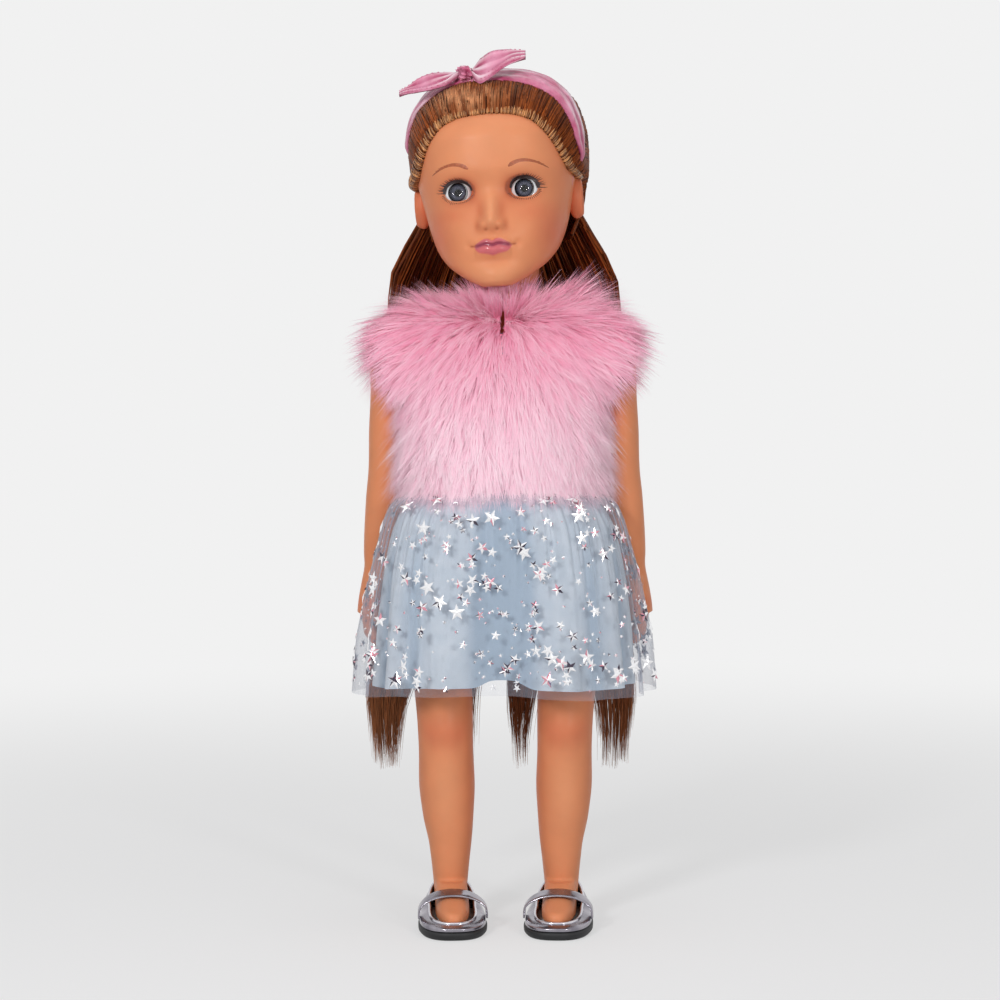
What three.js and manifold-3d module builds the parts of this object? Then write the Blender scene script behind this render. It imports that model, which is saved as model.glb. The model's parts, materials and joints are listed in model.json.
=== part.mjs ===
// A vinyl play doll, 46 cm tall, in a satin and tulle skirt, a fur gilet, strap shoes and a hair bow.
// The doll stands on the floor z = 0 and faces -Y. Left and right are the doll's own: its left is +X.
import * as THREE from "three";
import { mergeVertices } from "three/addons/utils/BufferGeometryUtils.js";
import Module from "manifold-3d";

const wasm = await Module();
wasm.setup();

// Clearances, in millimetres
const FIT = 0.3; // between pieces that touch
const RUN = 0.5; // between pieces that turn on each other
const WALL = 3; // moulded vinyl

// Heights above the floor
const KNEE_Z = 106;
const HIP_Z = 190;
const WAIST_Z = 240;
const CHEST_Z = 285;
const SHOULDER_Z = 311;
const NECK_Z = 350; // centre of the neck ball

// Torso
const PELVIS_HALF = 20; // the legs swing beside these flat faces
const PELVIS_R = 26; // round underside, about the hip axis
const SHOULDER_HALF = 47.5; // the arms swing beside these flat faces
const WAIST_HALF = 33;
const CHEST_HALF = 41.5;
const YOKE_HALF = 38;

// Legs and arms
const LEG_HEAD_R = 21;
const HIP_STEM_R = 7;
const SHOULDER_Y = 2;
const ARM_HEAD_R = 13.5;
const ARM_STEM_R = 5.5;
const FLANGE_LIP = 3.5; // how far a plug's flange stands out past its stem
const FLANGE_T = 2;
const PLUG_DEPTH = 10; // in the limb

// Neck and head
const NECK_Y = 6;
const NECK_R = 13;
const BALL_R = 15.5;
const CUP_T = 3.5;
const CUP_HALF_H = 7.5;
const SEAT_DEPTH = 11; // lower edge of the head's seat, below the ball's centre
const HEAD_H = 114.5;
const CHIN_DROP = 12; // the chin's height below the ball's centre
const HEAD_ROLL = -3.3; // degrees, crown towards the doll's right
const HEAD_TURN = -4.6; // degrees, face towards the doll's right
const EYE_X = 17.3;
const EYE_H = 51.5; // above the chin
const EYE_R = 9.5;
const EYE_RECESS = 0.6; // eyeball behind the face
const LID_W = 13.6;
const LID_H = 10.2;
const IRIS_R = 5.1;
const IRIS_T = 0.8;
const EYE_CUP_T = 1.4;

// Hair, headband and bow
const HAIR_T = 4.2;
const HAIR_ROOM = 1.3; // under the cap
const BAND_W = 15;
const BAND_END_W = 7;
const BAND_T = 1.2;
const BAND_REACH = 104; // degrees down each side from the crown
const BOW_ANGLE = -12; // degrees from the crown, towards the doll's right
const KNOT = [9, 11, 8];
const LOCK_T = 9;
const LOCK_TOP_Z = 398;
const LOCK_END_Z = 80;

// Dress and gilet
const CLOTH_T = 1.2;
const BAND_H = 10;
const SKIRT_T = 0.9;
const HEM_Z = 126.5;
const LINING_HEM_Z = 130;
const GILET_HEM_Z = 237.5;
const GILET_T = 9;
const SIDE_GAP = 0.7; // between the cloth and the arms
const GILET_HALF = SHOULDER_HALF + FIT - SIDE_GAP;
const GILET_SLIT = 1;
const COLLAR_R = 25;
const STRIP_T = 1;
const STRIP_HALF = 4.5;

// Shoes
const SOLE_T = 4;
const SHOE_L = 68;
const SHOE_W = 35;
const SHOE_WELT = 0.6; // sole past the upper
const SHOE_T = 1.6;
const TOE_CAP_Z = 8.8; // the upper's edge at the toe
const SHOE_TOP_Z = 21; // and at the heel
const INSOLE_T = 1;
const SHOE_X = 28.5;
const SHOE_Y = -10; // middle of the shoe
const TOE_IN = 4; // degrees
const STRAP_W = 8;
const STRAP_T = 1.2;

const TAU = Math.PI * 2;
const rad = THREE.MathUtils.degToRad;
const { lerp, smoothstep } = THREE.MathUtils;
const v3 = (x, y, z) => new THREE.Vector3(x, y, z);
const range = (count) => Array.from({ length: count }, (_, i) => i);
const bump = (x, width) => Math.exp(-((x / width) ** 2));
const signedPower = (value, power) => Math.sign(value) * Math.abs(value) ** power;

// Finishes
function finish(color, roughness, metalness = 0) {
  return new THREE.MeshStandardMaterial({ color, roughness, metalness });
}

const VINYL = finish(0xe0986c, 0.45);
const PLUG = finish(0xe6d8c8, 0.5);
const SATIN_PINK = finish(0xe48aa6, 0.35);
const FUR = finish(0xe9a9bf, 0.95);
const SATIN_BLUE = finish(0xb9cddb, 0.35);
const TULLE = finish(0xd5dfe8, 0.6);
const STRIP = finish(0xf0f0f0, 0.8);
const HAIR = finish(0x8c5426, 0.45);
const EYE_WHITE = finish(0xf4f4f4, 0.2);
const IRIS = finish(0x6f7c8c, 0.3);
const CORNEA = finish(0xe8eef2, 0.05);
const SILVER = finish(0xc4c6cc, 0.3, 0.9);
const RUBBER = finish(0x1c1c1e, 0.7);

// Solids from meshes, and their cuts and joins
function solid(geometry) {
  const bare = geometry.index ? geometry.toNonIndexed() : geometry.clone();
  bare.deleteAttribute("normal");
  bare.deleteAttribute("uv");
  const merged = mergeVertices(bare, 1e-4);
  const vertProperties = new Float32Array(merged.attributes.position.array);
  const triVerts = new Uint32Array(merged.index.array);
  const made = new wasm.Manifold(new wasm.Mesh({ numProp: 3, vertProperties, triVerts }));
  if (made.volume() > 0) return made;
  for (let i = 0; i < triVerts.length; i += 3) triVerts.subarray(i, i + 2).reverse();
  return new wasm.Manifold(new wasm.Mesh({ numProp: 3, vertProperties, triVerts }));
}

const join = (...bodies) => bodies.reduce((all, body) => all.add(body));
const cut = (body, ...tools) => tools.reduce((left, tool) => left.subtract(tool), body);

function geometryOf(body) {
  const { numProp, numVert, vertProperties, triVerts } = body.getMesh();
  const positions = new Float32Array(numVert * 3);
  for (let i = 0; i < numVert; i++) {
    positions.set(vertProperties.subarray(i * numProp, i * numProp + 3), i * 3);
  }
  const geometry = new THREE.BufferGeometry();
  geometry.setAttribute("position", new THREE.BufferAttribute(positions, 3));
  geometry.setIndex(new THREE.BufferAttribute(triVerts, 1));
  geometry.computeVertexNormals();
  return geometry;
}

function piece(group, name, material, body) {
  const mesh = new THREE.Mesh(geometryOf(body), material);
  mesh.name = name;
  group.add(mesh);
}

// Skins over rings of points
function skin(triangles) {
  const geometry = new THREE.BufferGeometry();
  geometry.setFromPoints(triangles);
  return solid(geometry);
}

function between(lower, upper) {
  return lower.flatMap((a, i) => {
    const next = (i + 1) % lower.length;
    return [a, lower[next], upper[next], a, upper[next], upper[i]];
  });
}

function lid(ring, flip) {
  const middle = ring.reduce((sum, p) => sum.add(p), v3(0, 0, 0)).divideScalar(ring.length);
  return ring.flatMap((a, i) => {
    const b = ring[(i + 1) % ring.length];
    return flip ? [a, b, middle] : [b, a, middle];
  });
}

// A closed skin over a stack of rings, with a lid on each end
function loft(rings) {
  const sides = rings.slice(1).flatMap((ring, i) => between(rings[i], ring));
  return skin([...lid(rings[0], false), ...sides, ...lid(rings[rings.length - 1], true)]);
}

// A cloth tube: its outer and inner rings, both from the bottom up
function tube(outer, inner) {
  const rings = [...outer, ...[...inner].reverse()];
  return skin(rings.flatMap((ring, i) => between(ring, rings[(i + 1) % rings.length])));
}

// A flat strip: rows of points over and under it, with square ends
function ribbon(rows) {
  const rings = rows.map(({ over, under }) => [...over, ...[...under].reverse()]);
  const end = ({ over, under }, flip) =>
    over.slice(1).flatMap((b, i) => {
      const quad = [over[i], b, under[i + 1], over[i], under[i + 1], under[i]];
      return flip ? quad : quad.reverse();
    });
  const sides = rings.slice(1).flatMap((ring, i) => between(rings[i], ring));
  return skin([...end(rows[0], false), ...sides, ...end(rows[rows.length - 1], true)]);
}

// A smooth curve through rows of [place, value, value, ...], without overshoot
function through(rows) {
  const last = rows.length - 1;
  const step = (i, k) => (rows[i + 1][k] - rows[i][k]) / (rows[i + 1][0] - rows[i][0]);
  const slope = (i, k) => {
    if (i === 0) return step(0, k);
    if (i === last) return step(last - 1, k);
    const [a, b] = [step(i - 1, k), step(i, k)];
    return a * b > 0 ? (2 * a * b) / (a + b) : 0;
  };
  return (place) => {
    const at = THREE.MathUtils.clamp(place, rows[0][0], rows[last][0]);
    const i = Math.min(rows.filter((row) => row[0] <= at).length - 1, last - 1);
    const width = rows[i + 1][0] - rows[i][0];
    const t = (at - rows[i][0]) / width;
    return rows[i].slice(1).map((from, column) => {
      const k = column + 1;
      const to = rows[i + 1][k];
      const rise = width * (t * (1 - t) ** 2 * slope(i, k) - t * t * (1 - t) * slope(i + 1, k));
      return from + (to - from) * t * t * (3 - 2 * t) + rise;
    });
  };
}

// A ring that is wide by half and runs from front to back in y, widest at mid
function bodyRing(z, half, front, back, mid, count, power = 2) {
  return range(count).map((i) => {
    const angle = (TAU * i) / count;
    const across = signedPower(Math.cos(angle), 2 / power);
    const along = signedPower(Math.sin(angle), 2 / power);
    return v3(half * across, mid + (along > 0 ? back - mid : mid - front) * along, z);
  });
}

// Limb rows are [height, middle x, middle y, half width, half depth]
function limb(rows, count, side) {
  const rings = rows.map(([z, x, y, halfX, halfY]) =>
    range(count).map((i) => {
      const angle = (TAU * i) / count;
      return v3(side * (x + halfX * Math.cos(angle)), y + halfY * Math.sin(angle), z);
    }),
  );
  return loft(rings);
}

function block(x0, x1, y0, y1, z0, z1) {
  const box = new THREE.BoxGeometry(x1 - x0, y1 - y0, z1 - z0);
  return solid(box.translate((x0 + x1) / 2, (y0 + y1) / 2, (z0 + z1) / 2));
}

function rodX(x0, x1, y, z, radius, sides = 14) {
  const rod = new THREE.CylinderGeometry(radius, radius, Math.abs(x1 - x0), sides);
  return solid(rod.rotateZ(Math.PI / 2).translate((x0 + x1) / 2, y, z));
}

function rodZ(x, y, z0, z1, radius, sides = 20) {
  const rod = new THREE.CylinderGeometry(radius, radius, z1 - z0, sides);
  return solid(rod.rotateX(Math.PI / 2).translate(x, y, (z0 + z1) / 2));
}

function ball(x, y, z, radius, around = 20, rows = 12) {
  return solid(new THREE.SphereGeometry(radius, around, rows).translate(x, y, z));
}

// A turned solid: [radius, height] points about a vertical axis
function turnedZ(points, sides, x = 0, y = 0, z = 0) {
  const profile = points.map(([radius, height]) => new THREE.Vector2(radius, height));
  return solid(new THREE.LatheGeometry(profile, sides).rotateX(Math.PI / 2).translate(x, y, z));
}

const ALL = 400; // longer than any piece

// Torso rows are [height, half width, front, back]
const TORSO_MID = 0;
const YOKE_Z = HIP_Z + LEG_HEAD_R + 2.8;
const torsoRows = [
  [YOKE_Z, YOKE_HALF, -28, 28],
  [lerp(YOKE_Z, WAIST_Z, 0.4), YOKE_HALF - 1.5, -27, 25],
  [WAIST_Z, WAIST_HALF, -24, 20],
  [lerp(WAIST_Z, CHEST_Z, 0.5), lerp(WAIST_HALF, CHEST_HALF, 0.45), -26.2, 20.8],
  [CHEST_Z, CHEST_HALF, -29, 24],
  [SHOULDER_Z - 17, SHOULDER_HALF - 3, -28.5, 24.5],
  [SHOULDER_Z - 8, SHOULDER_HALF + 1.5, -25, 24.5],
  [SHOULDER_Z, SHOULDER_HALF + 2.5, -21, 23],
  [SHOULDER_Z + 7, SHOULDER_HALF + 1.5, -17, 20.5],
  [SHOULDER_Z + 12, SHOULDER_HALF - 4.5, -13, 17.5],
  [SHOULDER_Z + 15.5, SHOULDER_HALF - 17, -10.5, 16],
  [SHOULDER_Z + 18, SHOULDER_HALF - 30, -8, 14.5],
];
const torsoAt = through(torsoRows);
const TORSO_POWER = 2.3;

// The upper torso grown on every side, or shrunk where the values are negative
function torsoSkin(sides, front = sides, back = sides, count = 20) {
  const rings = torsoRows.map(([z, half, y0, y1]) => {
    const lift = Math.max(sides, -WALL) * smoothstep(z, SHOULDER_Z, SHOULDER_Z + 12);
    const drop = sides < 0 && z === YOKE_Z ? -sides : 0;
    return bodyRing(z + lift + drop, half + sides, y0 - front, y1 + back, TORSO_MID, count, TORSO_POWER);
  });
  return loft(rings);
}

// The pelvis between the legs is round below, about the hip axis
function pelvis(shrink) {
  const steps = 6;
  const rows = range(steps + 1).map((i) => {
    const angle = -Math.PI / 2 + (Math.PI / 2) * (i / steps);
    const deep = Math.max(Math.cos(angle) * (PELVIS_R - shrink), 1);
    return [HIP_Z + Math.sin(angle) * (PELVIS_R - shrink), deep];
  });
  rows.push([YOKE_Z + WALL + 1, 27 - shrink]);
  const half = PELVIS_HALF - shrink;
  return loft(rows.map(([z, deep]) => bodyRing(z, half, -deep, deep, 0, 12, 8)));
}

function plugHoles(radius, x0, x1, y, z) {
  return [1, -1].map((side) => rodX(side * x0, side * x1, y, z, radius));
}

function neckAndBall() {
  const bottom = SHOULDER_Z + 10;
  const shoulder = -Math.sqrt(BALL_R ** 2 - NECK_R ** 2);
  const arc = range(7).map((i) => {
    const height = lerp(Math.asin(shoulder / BALL_R), Math.PI / 2, i / 6);
    return [i === 6 ? 0 : BALL_R * Math.cos(height), NECK_Z + BALL_R * Math.sin(height)];
  });
  const base = [[0, bottom], [NECK_R + 5, bottom], [NECK_R + 3, bottom + 6], [NECK_R, bottom + 11]];
  return turnedZ([...base, ...arc], 20, 0, NECK_Y);
}

function torsoShell() {
  const outside = join(torsoSkin(0), pelvis(0));
  const inside = join(torsoSkin(-WALL, -WALL, -WALL, 14), pelvis(WALL));
  const sideX = SHOULDER_HALF - WALL;
  const hollow = cut(
    outside.intersect(block(-SHOULDER_HALF, SHOULDER_HALF, -ALL, ALL, 0, ALL)),
    inside.intersect(block(-sideX, sideX, -ALL, ALL, 0, SHOULDER_Z + 11)),
  );
  const hipX = PELVIS_HALF - WALL;
  const flangeRoom = ARM_STEM_R + FLANGE_LIP + RUN;
  const hipRoom = HIP_STEM_R + FLANGE_LIP + RUN;
  const holes = [
    ...plugHoles(HIP_STEM_R + RUN, hipX - 1, PELVIS_HALF + 1, 0, HIP_Z),
    ...plugHoles(hipRoom, hipX - FLANGE_T - 2 * RUN, hipX, 0, HIP_Z),
    ...plugHoles(ARM_STEM_R + RUN, sideX - 1, SHOULDER_HALF + 1, SHOULDER_Y, SHOULDER_Z),
    ...plugHoles(flangeRoom, sideX - FLANGE_T - 2 * RUN, sideX, SHOULDER_Y, SHOULDER_Z),
  ];
  return cut(join(hollow, neckAndBall()), ...holes);
}

// Dress top: a sleeveless bodice, closed up the back, on a waistband
const BAND_BOTTOM_Z = WAIST_Z - 3.5;
const BODICE_T = FIT + CLOTH_T;

function bodice() {
  const cloth = cut(torsoSkin(BODICE_T), torsoSkin(FIT));
  const neckline = rodZ(0, NECK_Y - 4, SHOULDER_Z - 4, ALL, COLLAR_R - 3);
  const kept = block(-GILET_HALF, GILET_HALF, -ALL, ALL, BAND_BOTTOM_Z, SHOULDER_Z + 20);
  return cut(cloth.intersect(kept), neckline);
}

function waistband() {
  const inner = BODICE_T + FIT;
  const cloth = cut(torsoSkin(inner + CLOTH_T), torsoSkin(inner));
  return cloth.intersect(block(-ALL, ALL, -ALL, ALL, BAND_BOTTOM_Z, BAND_BOTTOM_Z + BAND_H));
}

function stripBetween(inner, outer, z0, z1, front) {
  const cloth = cut(torsoSkin(outer), torsoSkin(inner));
  const [y0, y1] = front ? [-ALL, 0] : [0, ALL];
  return cloth.intersect(block(-STRIP_HALF, STRIP_HALF, y0, y1, z0, z1));
}

// Gilet: it hangs straight down from the chest
const GILET_SIDE = BODICE_T + FIT;
const GILET_FRONT = BODICE_T + STRIP_T + 2.6 * FIT;

function giletSkin(thick) {
  const [, half, front, back] = torsoRows.find((row) => row[0] === CHEST_Z);
  const over = torsoRows.filter((row) => row[0] >= CHEST_Z);
  const rows = [[GILET_HEM_Z, half, front, back], ...over];
  const rings = rows.map(([z, wide, y0, y1]) => {
    const lift = (GILET_SIDE + 0.45 * thick) * smoothstep(z, SHOULDER_Z, SHOULDER_Z + 12);
    const hem = z === GILET_HEM_Z && thick === 0 ? -1 : 0;
    const [side, proud] = [GILET_SIDE + thick, GILET_FRONT + thick];
    return bodyRing(z + lift + hem, wide + side, y0 - proud, y1 + proud, TORSO_MID, 20, TORSO_POWER);
  });
  return loft(rings);
}

function giletPanels() {
  const seamY = 4;
  const cloth = cut(giletSkin(GILET_T), giletSkin(0), rodZ(0, NECK_Y - 3, SHOULDER_Z, ALL, COLLAR_R));
  const slit = GILET_SLIT / 2;
  const backPart = block(-GILET_HALF, GILET_HALF, seamY, ALL, 0, ALL);
  const leftPart = block(slit, GILET_HALF, -ALL, seamY - FIT, 0, ALL);
  const rightPart = block(-GILET_HALF, -slit, -ALL, seamY - FIT, 0, ALL);
  return [backPart, leftPart, rightPart].map((part) => cloth.intersect(part));
}

// Arms: rows are [height, middle x, middle y, half width, half depth]
const ARM_X0 = SHOULDER_HALF + FIT;
const ARM_TOP = SHOULDER_Z + ARM_HEAD_R;
const WRIST_Z = SHOULDER_Z - 121;
const HAND_L = 42;
const armRows = [
  [WRIST_Z - HAND_L, ARM_X0 + 27.5, 16, 3, 5.5],
  [WRIST_Z - 0.9 * HAND_L, ARM_X0 + 27.2, 17, 5, 9],
  [WRIST_Z - 0.68 * HAND_L, ARM_X0 + 26, 17.5, 6.4, 11.4],
  [WRIST_Z - 0.42 * HAND_L, ARM_X0 + 24.5, 17.3, 7.4, 12.4],
  [WRIST_Z - 0.2 * HAND_L, ARM_X0 + 22.7, 17, 7.4, 10],
  [WRIST_Z, ARM_X0 + 21, 16.5, 7.2, 8],
  [SHOULDER_Z - 111, ARM_X0 + 19.6, 15, 8.6, 9],
  [SHOULDER_Z - 96, ARM_X0 + 17.6, 13, 9.9, 10.8],
  [SHOULDER_Z - 81, ARM_X0 + 16, 11, 10.4, 11.4],
  [SHOULDER_Z - 68, ARM_X0 + 15, 9, 10, 11],
  [SHOULDER_Z - 46, ARM_X0 + 13.5, 6, 10.8, 11.8],
  [SHOULDER_Z - 26, ARM_X0 + 11.8, 4, 11.4, 12.4],
  [SHOULDER_Z - 11, ARM_X0 + 11, 2.5, 12, 13.2],
  [SHOULDER_Z, ARM_X0 + 10.8, SHOULDER_Y, 12, ARM_HEAD_R],
  [SHOULDER_Z + 0.45 * ARM_HEAD_R, ARM_X0 + 10.2, SHOULDER_Y, 11.6, 0.92 * ARM_HEAD_R],
  [SHOULDER_Z + 0.8 * ARM_HEAD_R, ARM_X0 + 8.5, SHOULDER_Y, 9.5, 0.66 * ARM_HEAD_R],
  [ARM_TOP, ARM_X0 + 6.5, SHOULDER_Y, 6, 0.3 * ARM_HEAD_R],
];
const armAt = through(armRows);

function thumb(side) {
  const x = ARM_X0 + 23.5;
  const rows = [
    [WRIST_Z - 27, x + 0.2, 2.2, 1.6, 1.6],
    [WRIST_Z - 24.5, x, 2.6, 3.2, 3.2],
    [WRIST_Z - 16, x - 0.3, 4.4, 3.6, 3.6],
    [WRIST_Z - 6, x - 1.2, 9, 3.8, 4],
  ];
  return limb(rows, 8, side);
}

function arm(side) {
  const inner = side > 0 ? block(-ALL, ARM_X0, -ALL, ALL, 0, ALL) : block(-ARM_X0, ALL, -ALL, ALL, 0, ALL);
  const [from, to] = [side * (ARM_X0 - 1), side * (ARM_X0 + PLUG_DEPTH)];
  const bore = rodX(from, to, SHOULDER_Y, SHOULDER_Z, ARM_STEM_R + FIT);
  return cut(join(limb(armRows, 12, side), thumb(side)), inner, bore);
}

// A plug holds a limb to the torso: its flange is inside the torso wall, and its stem is in the limb
function plug(side, wallX, stemR, y, z) {
  const flangeOut = wallX - WALL - FIT;
  const flangeR = stemR + FLANGE_LIP;
  const end = wallX + FIT + PLUG_DEPTH - FIT;
  const flange = rodX(side * (flangeOut - FLANGE_T), side * flangeOut, y, z, flangeR);
  const stem = rodX(side * (flangeOut - 0.5 * FLANGE_T), side * end, y, z, stemR);
  return join(flange, stem);
}

// Legs: rows are [height, middle x, middle y, half width, half depth]
const LEG_X0 = PELVIS_HALF + FIT;
const FOOT_Z = SOLE_T + INSOLE_T + 2 * FIT;
const ANKLE_Z = 32;
const legRows = [
  [FOOT_Z + 6, SHOE_X + 1.6, 9, 8.4, 9.5],
  [ANKLE_Z - 6, SHOE_X + 1.4, 7.5, 9.6, 11.8],
  [lerp(ANKLE_Z, KNEE_Z, 0.12), SHOE_X + 1.4, 6, 11.2, 12.2],
  [lerp(ANKLE_Z, KNEE_Z, 0.35), SHOE_X + 2.4, 5.5, 13.6, 14.8],
  [lerp(ANKLE_Z, KNEE_Z, 0.6), SHOE_X + 3, 4.8, 15, 16.5],
  [lerp(ANKLE_Z, KNEE_Z, 0.84), SHOE_X + 3.3, 2.8, 14.6, 15.9],
  [KNEE_Z, SHOE_X + 3.5, 1, 14.8, 16.2],
  [lerp(KNEE_Z, HIP_Z, 0.2), LEG_X0 + 12.5, 1.6, 15.4, 16.7],
  [lerp(KNEE_Z, HIP_Z, 0.45), LEG_X0 + 14.8, 1.6, 16, 18.3],
  [HIP_Z - PELVIS_R - 4, LEG_X0 + 16.3, 1, 16.5, 19.6],
  [HIP_Z - 0.65 * LEG_HEAD_R, LEG_X0 + 16.8, 0.5, 17.2, 20.4],
  [HIP_Z, LEG_X0 + 16.9, 0, 17.4, LEG_HEAD_R],
  [HIP_Z + 0.55 * LEG_HEAD_R, LEG_X0 + 16, 0, 16.4, 0.84 * LEG_HEAD_R],
  [HIP_Z + 0.86 * LEG_HEAD_R, LEG_X0 + 13.5, 0, 13, 0.52 * LEG_HEAD_R],
  [HIP_Z + LEG_HEAD_R, LEG_X0 + 11, 0, 8, 0.2 * LEG_HEAD_R],
];

// A place in the shoe's own frame, turned in towards the other foot
function shoePlace(side, x, y, z) {
  const turn = rad(TOE_IN);
  const across = x * Math.cos(turn) + y * Math.sin(turn);
  const along = y * Math.cos(turn) - x * Math.sin(turn);
  return v3(side * (SHOE_X + across), SHOE_Y + along, z);
}

// The shoe's outline: a round toe at -Y and a slimmer heel, set in by inset. tuck draws it in further,
// most of all at the toe. height(along) is how high the ring lies, from -1 at the toe to 1 at the heel
function shoeRing(side, height, inset, tuck = 0) {
  const count = 20;
  return range(count).map((i) => {
    const angle = (TAU * i) / count;
    const along = signedPower(Math.sin(angle), 0.9);
    const drawn = inset + tuck * (1 - 0.6 * Math.max(along, 0));
    const half = (SHOE_W / 2 - drawn) * signedPower(Math.cos(angle), 0.75) * (1 - 0.1 * along);
    return shoePlace(side, half, along * (SHOE_L / 2 - drawn), height(along));
  });
}

// The foot, narrower than the shoe: [height, toe y, heel y, half width] in the shoe's own frame
const footRows = [
  [FOOT_Z, -24, 27, 7.4],
  [FOOT_Z + 2.2, -26.4, 29, 9],
  [FOOT_Z + 6, -25.4, 29.6, 9],
  [FOOT_Z + 9.4, -17.5, 29.4, 8.8],
  [FOOT_Z + 13, -7.5, 29, 8.6],
  [FOOT_Z + 17.5, 2, 28.4, 8.4],
];

function foot(side) {
  const count = 16;
  return loft(
    footRows.map(([z, toe, heel, half]) =>
      range(count).map((i) => {
        const along = Math.sin((TAU * i) / count);
        const across = half * signedPower(Math.cos((TAU * i) / count), 0.85) * (1 - 0.06 * along);
        return shoePlace(side, across, lerp(toe, heel, 0.5 + 0.5 * along), z);
      }),
    ),
  );
}

function leg(side) {
  const crotch = HIP_Z - PELVIS_R - 4;
  const [x0, x1] = side > 0 ? [-ALL, LEG_X0] : [-LEG_X0, ALL];
  const inner = block(x0, x1, -ALL, ALL, crotch, ALL);
  const bore = rodX(side * (LEG_X0 - 1), side * (LEG_X0 + PLUG_DEPTH), 0, HIP_Z, HIP_STEM_R + FIT);
  return cut(join(limb(legRows, 12, side), foot(side)), inner, bore);
}

function flatSheet(side, z, inset, thick) {
  const shape = new THREE.Shape(shoeRing(1, () => 0, inset).map((p) => new THREE.Vector2(p.x, p.y)));
  const sheet = new THREE.ExtrudeGeometry(shape, { depth: thick, bevelEnabled: false });
  return solid(sheet.translate(0, 0, z).scale(side, 1, 1));
}

// The upper is a low shell around the foot. Its edge climbs from the toe to the heel
const EDGE_TUCK = 5;
const upperRows = [[0, 0], [0.6, 0], [0.84, 0.34 * EDGE_TUCK], [1, EDGE_TUCK]]; // [share of height, tuck]

function edgeHeight(along) {
  return lerp(TOE_CAP_Z, SHOE_TOP_Z, (0.5 + 0.5 * along) ** 2.2);
}

function upperSkin(side, inset, bottom) {
  const height = (t) => (along) => lerp(bottom, edgeHeight(along) - inset, t);
  return loft(upperRows.map(([t, tuck]) => shoeRing(side, height(t), inset, tuck)));
}

function shoeUpper(side) {
  const lip = 0.8;
  const opening = (rise) => shoeRing(side, (along) => edgeHeight(along) + rise, lip, EDGE_TUCK);
  const throat = loft([opening(-2 * SHOE_T), opening(2)]);
  return cut(upperSkin(side, 0, SOLE_T + FIT), upperSkin(side, SHOE_T, SOLE_T - 1), throat);
}

// The strap arches over the instep, and its ends lie on the outside of the upper
function shoeStrap(side) {
  const steps = 12;
  const low = SOLE_T + 3;
  const middleY = -8;
  const slope = 0.3; // the instep's, from the front of the strap to its back
  const reach = 1.04 * (SHOE_W / 2) + FIT;
  const bend = low + 5.4;
  const arch = through([[-1, low], [-0.84, bend], [0, FOOT_Z + 14], [0.84, bend], [1, low]]);
  const row = (k) => {
    const turn = (Math.PI / 2) * (-1 + (2 * k) / steps);
    const [z] = arch(-1 + (2 * k) / steps);
    const x = reach * signedPower(Math.sin(turn), 0.9);
    const line = (lift) =>
      [-STRAP_W / 2, STRAP_W / 2].map((dy) => {
        const rise = Math.cos(turn) * (lift + slope * dy);
        return shoePlace(side, x + Math.sin(turn) * lift, middleY + dy, z + rise);
      });
    return { over: line(STRAP_T), under: line(0) };
  };
  return ribbon(range(steps + 1).map(row));
}

// Skirts: rows are [height, half width, front, back, widest place], from the hem up
const SKIRT_TOP_Z = BAND_BOTTOM_Z - FIT;
const SKIRT_MID = -12;
const SKIRT_GAP = 1.2; // between the skirt and an arm
const FOLDS = 10;
const tulleRows = [
  [HEM_Z, 81, -62, 41, SKIRT_MID],
  [lerp(HEM_Z, SKIRT_TOP_Z, 0.22), 79, -59.5, 41, SKIRT_MID],
  [lerp(HEM_Z, SKIRT_TOP_Z, 0.46), 74, -54, 40, SKIRT_MID],
  [lerp(HEM_Z, SKIRT_TOP_Z, 0.7), 67, -50, 38.5, SKIRT_MID],
  [SKIRT_TOP_Z - 11, 59.5, -46, 36, SKIRT_MID],
  [SKIRT_TOP_Z - 4, 50, -39, 31, SKIRT_MID / 2],
  [SKIRT_TOP_Z, WAIST_HALF + 6, -30, 26, 0],
];
const liningRows = [
  [LINING_HEM_Z, 70, -50, 36, SKIRT_MID],
  [lerp(LINING_HEM_Z, SKIRT_TOP_Z, 0.4), 66, -47, 35.5, SKIRT_MID],
  [lerp(LINING_HEM_Z, SKIRT_TOP_Z, 0.75), 59, -43, 34.5, SKIRT_MID],
  [SKIRT_TOP_Z - 12, 52, -39.5, 32.5, SKIRT_MID],
  [SKIRT_TOP_Z - 5, 43.5, -33.5, 28.5, SKIRT_MID / 2],
  [SKIRT_TOP_Z, WAIST_HALF + 3.4, -27, 23.2, 0],
];

// The skirt hangs inside the arms, so its sides are drawn in where an arm hangs
function insideArm(x, y, z, gap) {
  const [middleX, middleY, halfX, halfY] = armAt(z);
  const beside = smoothstep(y, middleY - halfY - 18, middleY - halfY - 7);
  const hung = smoothstep(z, WRIST_Z - HAND_L - 16, WRIST_Z - HAND_L + 2);
  const limit = lerp(2 * Math.abs(x) + 1, middleX - halfX - gap, beside * hung);
  return Math.sign(x) * Math.min(Math.abs(x), limit);
}

// Round folds that deepen towards the hem, and one deeper fold at the middle of the front
function skirtRing([z, half, front, back, mid], hemZ, count, fold, inset) {
  const down = smoothstep(SKIRT_TOP_Z - z, 4, SKIRT_TOP_Z - hemZ);
  const ring = bodyRing(z, half - inset, front + inset, back - inset, mid, count, 2.35);
  return ring.map((p, i) => {
    const angle = (TAU * i) / count;
    const wave = 0.5 + 0.5 * Math.cos(FOLDS * (angle + Math.PI / 2) + 0.7 * Math.sin(2 * angle));
    const centre = 1.4 * bump(Math.sin(angle) + 1, 0.02);
    const scale = 1 - (fold * down * (wave + centre)) / Math.hypot(p.x, p.y - mid);
    const x = p.x * scale;
    const y = mid + (p.y - mid) * scale;
    return v3(x, y, z);
  });
}

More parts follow.
